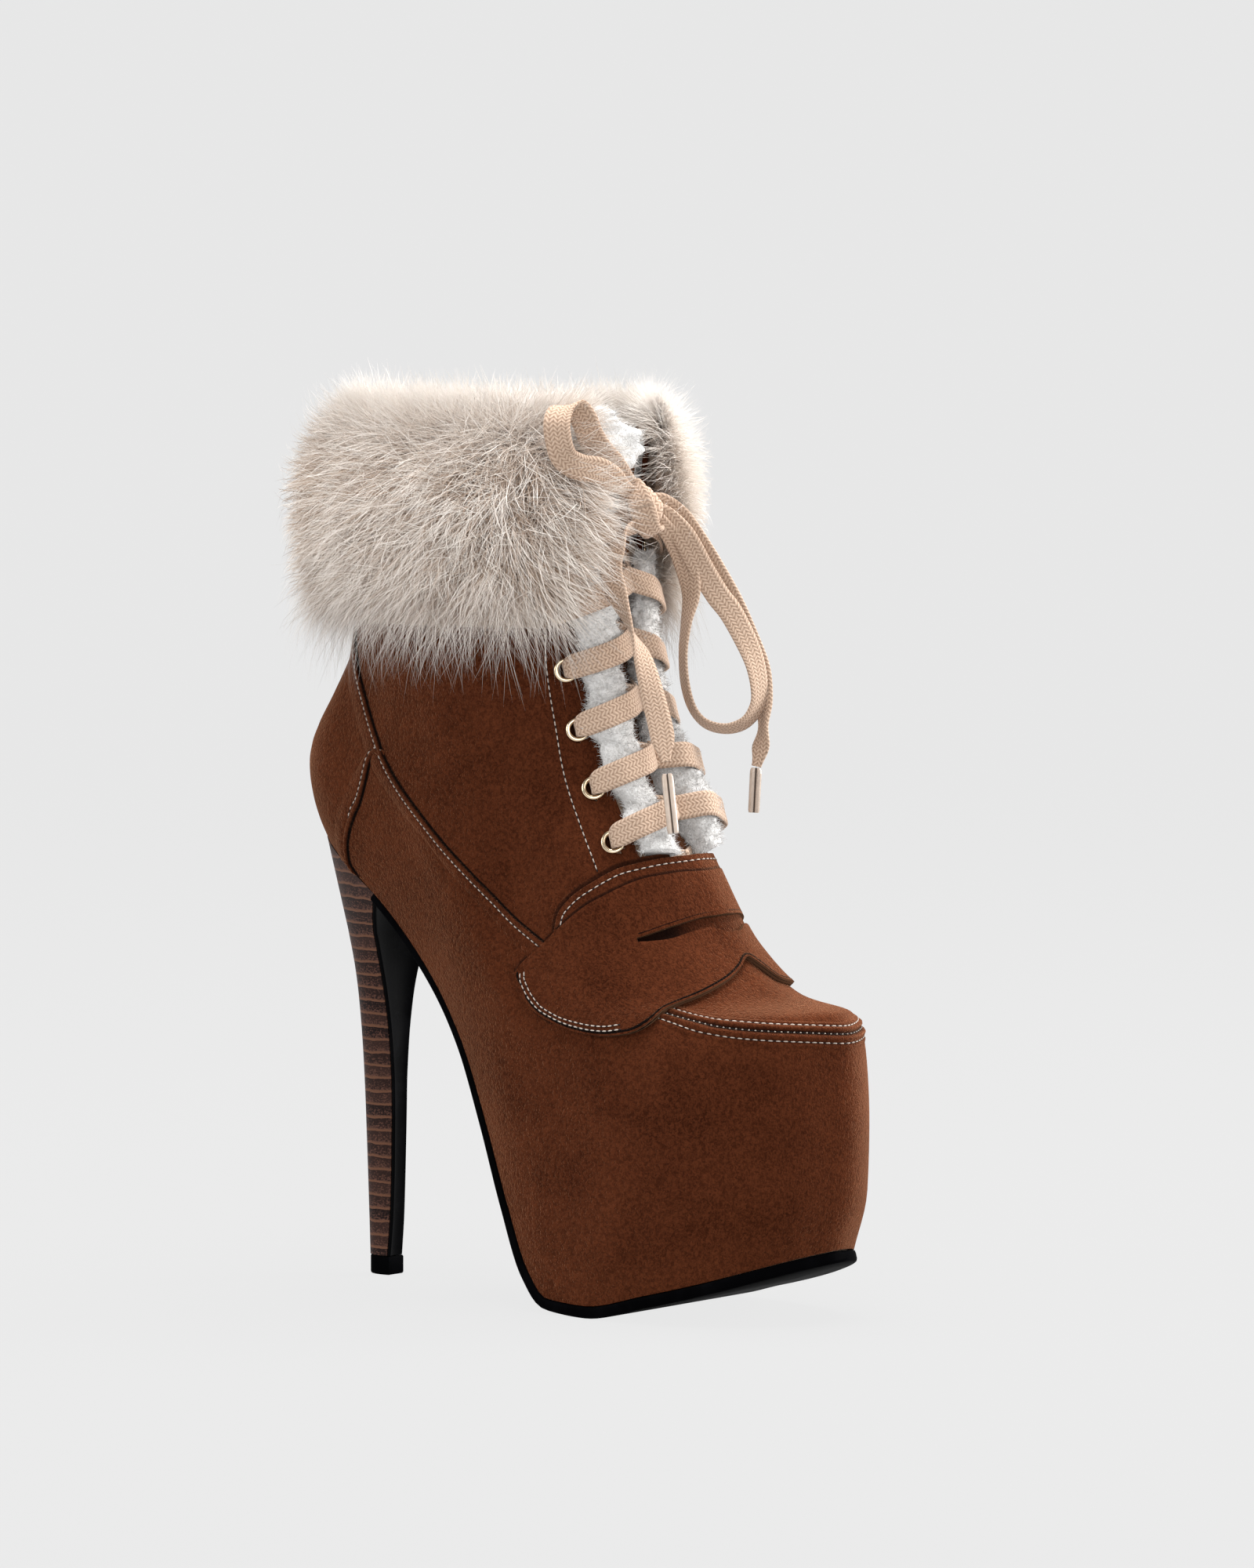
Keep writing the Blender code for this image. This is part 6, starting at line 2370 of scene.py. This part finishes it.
            stand = push * (1.15 - 1.05 * t) - coat.lean * t
            way = out * stand[:, None] + comb * (0.30 + 0.85 * t) + stray * (0.4 + t)
            way = way - UPWARD * coat.droop * t
            paths[:, k] = paths[:, k - 1] + unit(way) * (length / (steps - 1))[:, None]
        pull = (np.linspace(0.0, 1.0, steps) ** 1.4)[None, :, None] * coat.gather
        paths = paths - pull * (root - middle)[:, None, :]
        limit = self.reach[0] + (self.reach[1] - self.reach[0]) * ease((front - 0.62) / 0.25)
        limit = limit * (1.0 - 0.5 * ease((height - 282.0) / 24.0) * ease((front - 0.55) / 0.25))
        proud = np.sum((paths - root[:, None, :]) * out[:, None, :], axis=-1)
        paths = paths - 0.85 * np.maximum(proud - limit[:, None], 0.0)[..., None] * out[:, None, :]
        sides = unit(np.cross(paths[:, -1] - paths[:, 0], out) + 0.5 * chance.normal(size=(count, 3)))
        widths = chance.uniform(*coat.width, count)
        # Hair toward the back of the outer half is darker; on the inner half, hair beside the throat is made
        # paler as painted light where it lies in shade
        tone_and_painted_light = -0.48 * ease((front - 0.62) / 0.2)
        if side is Side.INNER:
            tone_and_painted_light = 0.75 * ease((0.46 - front) / 0.16)
        tone = np.clip(coat.pale + tone_and_painted_light + 0.20 * tilt[:, 2] + chance.normal(0.0, 0.24, count), 0.0, 1.0)
        piece = self.bench.strands(coat.name + "_" + side.word, paths, sides, widths, tone)
        self.bench.finish(piece, (FUR,), angle=ALL_SMOOTH)

    def build(self) -> None:
        """Backing and every coat on both halves."""
        self.backing()
        for side in Side:
            for coat in self.coats:
                self.hair(coat, side)


@dataclass
class SoleUnit:
    """Outsole, heel, heel breast, top lift and the hidden bed."""

    last: Last
    bench: Bench
    gap: float = 0.3
    fore_thick: float = 4.0
    waist_thick: float = 3.0
    welt: float = 0.9
    end_share: float = 0.822
    breast_thick: float = 1.2
    seat_x: float = 13.2
    lift_high: float = 6.6
    hollow: float = 0.16
    # height, back x, front x, half width, share of the half width that the front has
    heel_rows: Table = (
        (6.9, -7.0, 4.6, 5.2, 0.68),
        (22.0, -7.6, 5.9, 5.5, 0.62),
        (43.0, -8.4, 6.7, 5.9, 0.58),
        (66.0, -9.4, 7.1, 6.3, 0.58),
        (83.0, -10.2, 7.1, 7.5, 0.63),
        (100.0, -11.3, 7.1, 9.6, 0.75),
        (112.0, -12.6, 7.4, 11.8, 0.87),
        (124.0, -14.6, 8.6, 14.8, 1.0),
    )
    # Back x, front x and half width of the tip, and the share of the half width that its front has
    tip: Place = (-6.9, 4.4, 5.4)
    tip_face: float = 0.72

    def outsole(self) -> None:
        """Black sheet with a rounded edge."""
        share = np.concatenate([np.linspace(0.0, 0.5, 61), np.linspace(0.5, self.end_share, 40)[1:]])
        u = np.concatenate([share, -share[::-1][:-1]])
        way = self.last.skin(u + 0.01, 0.0) - self.last.skin(u - 0.01, 0.0)
        out = unit(np.stack([way[:, 1], -way[:, 0], np.zeros(len(u))], axis=1))
        edge = self.last.skin(u, 0.0)
        away = np.abs(u)
        grow = self.welt * (1.0 - ease((away - 0.5) / 0.2)) * (0.1 + 0.9 * ease(away / 0.22))
        waist = ease((away - 0.36) / 0.2)
        thick = (1.0 - waist) * self.fore_thick + waist * self.waist_thick
        rings = []
        # depth as a share of the thickness, inset in millimetres
        for depth, inset in ((0.0, 0.5), (0.06, 0.1), (0.3, 0.0), (0.72, 0.1), (0.92, 0.45), (1.0, 1.1)):
            point = edge + out * (grow - inset)[:, None]
            height = self.last.sheet.at(point[:, 0])
            slope = self.last.sheet.at(point[:, 0] + 0.5) - self.last.sheet.at(point[:, 0] - 0.5)
            upright = unit(np.stack([-slope, np.zeros(len(u)), np.ones(len(u))], axis=1))
            point[:, 2] = height
            rings.append(point - upright * (self.gap + thick * depth)[:, None])
        piece = self._rungs("outsole_sheet", np.array(rings)[::-1])
        self.bench.finish(piece, (RUBBER,), ("outsole",), angle=ROUNDED)

    def _rungs(self, name: str, rings: np.ndarray) -> Piece:
        """Body through rings, closed above and below by rungs from the inner side to the outer side."""
        count, around = rings.shape[:2]
        faces = tube_faces(count, around)[:-2]
        for base in (0, (count - 1) * around):
            for i in range(around // 2):
                corners = []
                for k in (i, i + 1, around - i - 1, (around - i) % around):
                    if base + k not in corners:
                        corners.append(base + k)
                if len(corners) > 2:
                    faces.append(tuple(corners))
        return self.bench.body(name, rings, faces)

    def heel_rings(self) -> Tuple[np.ndarray, np.ndarray]:
        """Sections of the heel from its tip to the seat.

        Returns:
            Rings of points, and for each ring its front x, half width and height at the front.
        """
        inset = self.breast_thick + self.gap
        heights = np.linspace(self.heel_rows[0][0], self.heel_rows[-1][0], 40)
        back, front, half, face = (Curve.of(self.heel_rows, column).at(heights) for column in (1, 2, 3, 4))
        rings = [self._section(*row) for row in zip(heights, back, front - inset, half, face)]
        seat = self._seat()
        low = rings[-1].copy()
        for share in np.linspace(0.0, 1.0, 16)[1:]:
            ring = low + (seat - low) * share
            pull = 0.10 * math.sin(math.pi * share) * (seat[0, 0] - low[0, 0])
            ring[:, 0] -= pull * (ring[:, 0] > 0.0)
            rings.append(ring)
        rings = np.array(rings)
        facts = np.stack([rings[:, 0, 0], np.abs(rings[:, 6, 1]), rings[:, 0, 2]], axis=1)
        return rings, facts

    def _section(self, height: float, back: float, front: float, half: float, face: float) -> np.ndarray:
        """Section with a flat front and a round back, from the front round by the inner side.

        Args:
            height: Its height.
            back: Its rearmost x.
            front: Its foremost x.
            half: Half width.
            face: Share of the half width that the front has.

        Returns:
            Points of the section.
        """
        across = np.linspace(0.0, half * face, 7)
        turn = np.linspace(0.0, math.pi / 2.0, 15)[1:]
        x = np.concatenate([np.full(7, front), front + (back - front) * np.sin(turn)])
        y = np.concatenate([across, half * (np.cos(turn) + (face - 1.0) * (1.0 - np.sin(turn)) ** 2)])
        x, y = np.concatenate([x, x[-2:0:-1]]), np.concatenate([y, -y[-2:0:-1]])
        return np.stack([x, y, np.full(len(x), height)], axis=1)

    def _seat(self) -> np.ndarray:
        """Top of the heel against the underside of the sole's sheet."""
        start, inset = 0.8235, 0.3
        half = np.interp(start, [row[0] for row in SOLE], [row[3] for row in SOLE]) - inset
        share = np.linspace(start, 1.0, 15)[1:]
        edge = self.last.skin(share, np.zeros(len(share)))
        x = np.concatenate([np.full(7, self.seat_x), edge[:, 0] + inset * (share > 0.99)])
        y = np.concatenate([np.linspace(0.0, half, 7), np.maximum(edge[:, 1] - inset, 0.0)])
        x, y = np.concatenate([x, x[-2:0:-1]]), np.concatenate([y, -y[-2:0:-1]])
        return np.stack([x, y, self.last.sheet.at(x) - self.gap], axis=1)

    def heel(self) -> None:
        """Stacked heel, its hollow black breast and its tip."""
        rings, facts = self.heel_rings()
        front = np.abs(rings[:, :, 0] - facts[:, :1]) < SLACK
        share = rings[:, :, 1] / np.maximum(facts[:, 1:2], SLACK)
        dip = self.hollow * facts[:, 1:2] * (1.0 - np.clip(share, -1.0, 1.0) ** 2)
        carved = rings.copy()
        carved[:, :, 0] -= np.where(front, dip, 0.0)
        piece = self.bench.solid("stacked_heel", carved)
        self.bench.finish(piece, (HEEL_STACK,), ("heel",), angle=40.0)

        places = np.linspace(-1.0, 1.0, 25)
        breast, i, j = self.bench.grid("breast_cover", len(places) - 1, len(facts) - 1)
        half = facts[j, 1]
        dip = self.hollow * half * (1.0 - places[i] ** 2)
        height = facts[j, 2]
        top = self.last.sheet.at(np.array(self.seat_x + self.breast_thick + self.gap)) - 0.5
        height = np.where(j == len(facts) - 1, top, height)
        points = np.stack([facts[j, 0] + self.gap - dip, places[i] * half, height], axis=1)
        self.bench.bend(breast, points)
        self.bench.thicken(breast, self.breast_thick, True)
        self.bench.round_edges(breast, 0.35)
        self.bench.finish(breast, (GLOSS,), ("heel_breast",), angle=ROUNDED)

        back, front_x, half_tip = self.tip
        ring = self._section(0.0, back, front_x, half_tip, self.tip_face)
        middle = np.array((0.5 * (back + front_x), 0.0, 0.0))
        top = self.lift_high
        stack = []
        for height, inset in ((0.0, 0.35), (0.35, 0.05), (0.8, 0.0), (top - 0.5, 0.0), (top, 0.25)):
            level = middle + (ring - middle) * (1.0 - inset / half_tip)
            level[:, 2] = height
            stack.append(level)
        tip = self.bench.solid("heel_tip_lift", np.array(stack))
        self.bench.finish(tip, (RUBBER,), ("top_lift",))

    def build(self, frame: Dict[str, object]) -> None:
        """Everything below the foot."""
        self.outsole()
        self.heel()
        self.bench.keep(frame, "platform", CORE)
        self.bench.keep(frame, "insole", PILE)


@dataclass
class Studio:
    """Camera at the photograph's angle, soft lights, and a pale floor that sweeps up into a backdrop."""

    bench: Bench
    camera_place: Place = (1511.4, -1666.9, 317.7)
    azimuth: float = 40.0
    elevation: float = 3.6
    lens: float = 144.5
    sensor: float = 36.0
    ambient: float = 0.32
    aim: Place = (0.0, 0.0, 0.15)
    # Soft boxes: name, place in metres, side, power, colour
    boxes: Tuple[Tuple[str, Place, float, float, Colour], ...] = (
        ("left_box", (-1.05, -1.45, 0.80), 1.1, 14.5, (1.0, 0.99, 0.97)),
        ("right_box", (1.05, 1.35, 0.60), 0.9, 44.0, (1.0, 0.99, 0.97)),
        ("overhead", (0.05, 0.10, 2.1), 1.4, 90.0, (1.0, 1.0, 1.0)),
        ("front_fill", (2.0, -2.3, 0.8), 1.6, 25.0, (1.0, 1.0, 1.0)),
        ("toe_box", (2.2, -0.3, 0.9), 1.2, 11.0, (1.0, 0.99, 0.97)),
    )
    # Size of the floor, how far it starts in front of the boot, and where and how tightly it bends up
    floor_size: Pair = (14.0, 12.0)
    floor_front: float = 5.0
    bend_start: float = 3.0
    bend_radius: float = 1.5
    floor_gap: float = 0.0002

    def camera(self) -> None:
        """Camera fitted to the photograph."""
        data = bpy.data.cameras.new("photo_camera")
        data.lens = self.lens
        data.sensor_width = self.sensor
        data.sensor_fit = "AUTO"
        data.clip_end = 50.0
        eye = bpy.data.objects.new("photo_camera", data)
        eye.location = Vector(self.bench.place(np.array(self.camera_place)))
        eye.rotation_euler = (math.radians(90.0 - self.elevation), 0.0, math.radians(self.azimuth))
        bpy.context.scene.collection.objects.link(eye)
        bpy.context.scene.camera = eye

    def softbox(self, name: str, place: Place, size: float, power: float, colour: Colour) -> None:
        """Square area light aimed at the middle of the boot.

        Args:
            name: Name of the light.
            place: Where it stands, in metres.
            size: Its side in metres.
            power: Its power in watts.
            colour: Its colour.
        """
        data = bpy.data.lights.new(name, "AREA")
        data.shape = "SQUARE"
        data.size = size
        data.energy = power
        data.color = colour
        box = bpy.data.objects.new(name, data)
        box.location = place
        way = Vector(self.aim) - Vector(place)
        box.rotation_euler = way.to_track_quat("-Z", "Y").to_euler()
        bpy.context.scene.collection.objects.link(box)

    def lights(self) -> None:
        """All soft boxes and an even surround."""
        for box in self.boxes:
            self.softbox(*box)
        world = bpy.data.worlds.new("studio")
        world.use_nodes = True
        sky = world.node_tree.nodes["Background"]
        sky.inputs["Color"].default_value = (1.0, 1.0, 1.0, 1.0)
        sky.inputs["Strength"].default_value = self.ambient
        bpy.context.scene.world = world

    def floor(self) -> None:
        """Floor that sweeps up behind the boot."""
        bpy.ops.object.select_all(action="DESELECT")
        bpy.ops.mesh.primitive_grid_add(x_subdivisions=8, y_subdivisions=60, size=1.0)
        sweep = bpy.context.object
        sweep.name = "studio_floor"
        turn = math.radians(self.azimuth)
        right = np.array((math.cos(turn), math.sin(turn), 0.0))
        away = np.array((-math.sin(turn), math.cos(turn), 0.0))
        flat = np.array([vertex.co for vertex in sweep.data.vertices])
        wide, deep = self.floor_size
        run = (flat[:, 1] + 0.5) * deep - self.floor_front
        past, radius = run - self.bend_start, self.bend_radius
        angle = np.clip(past / radius, 0.0, math.pi / 2.0)
        level = np.minimum(run, self.bend_start) + radius * np.sin(angle)
        rise = radius * (1.0 - np.cos(angle)) + np.maximum(past - radius * math.pi / 2.0, 0.0)
        points = right * (flat[:, :1] * wide) + away * level[:, None]
        points = points + UPWARD * (rise - self.floor_gap)[:, None]
        sweep.data.vertices.foreach_set("co", points.ravel())
        sweep.data.update()
        sweep.data.materials.append(PAPER.material())
        bpy.ops.object.shade_smooth()

    def build(self) -> None:
        """Camera, lights and floor."""
        self.camera()
        self.lights()
        self.floor()
        bpy.context.scene.view_settings.view_transform = "Standard"


def main() -> None:
    """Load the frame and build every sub-assembly."""
    logging.basicConfig(level=logging.INFO, format="%(message)s")
    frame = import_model()
    bench = Bench()
    last = Last()
    Studio(bench).build()
    throat = Throat(last, bench)
    Lacing(last, bench, throat).build()
    sewing = Sewing(last, bench)
    Upper(last, bench).build()
    trim = Trim(last, bench)
    Panels(last, trim, sewing).build()
    Vamp(last, bench, sewing, trim).build()
    throat.build()
    SoleUnit(last, bench).build(frame)
    FurCuff(last, bench).build()
    sewing.build()
    LOG.info("%d triangles in all", bench.triangles)


if __name__ == "__main__":
    main()
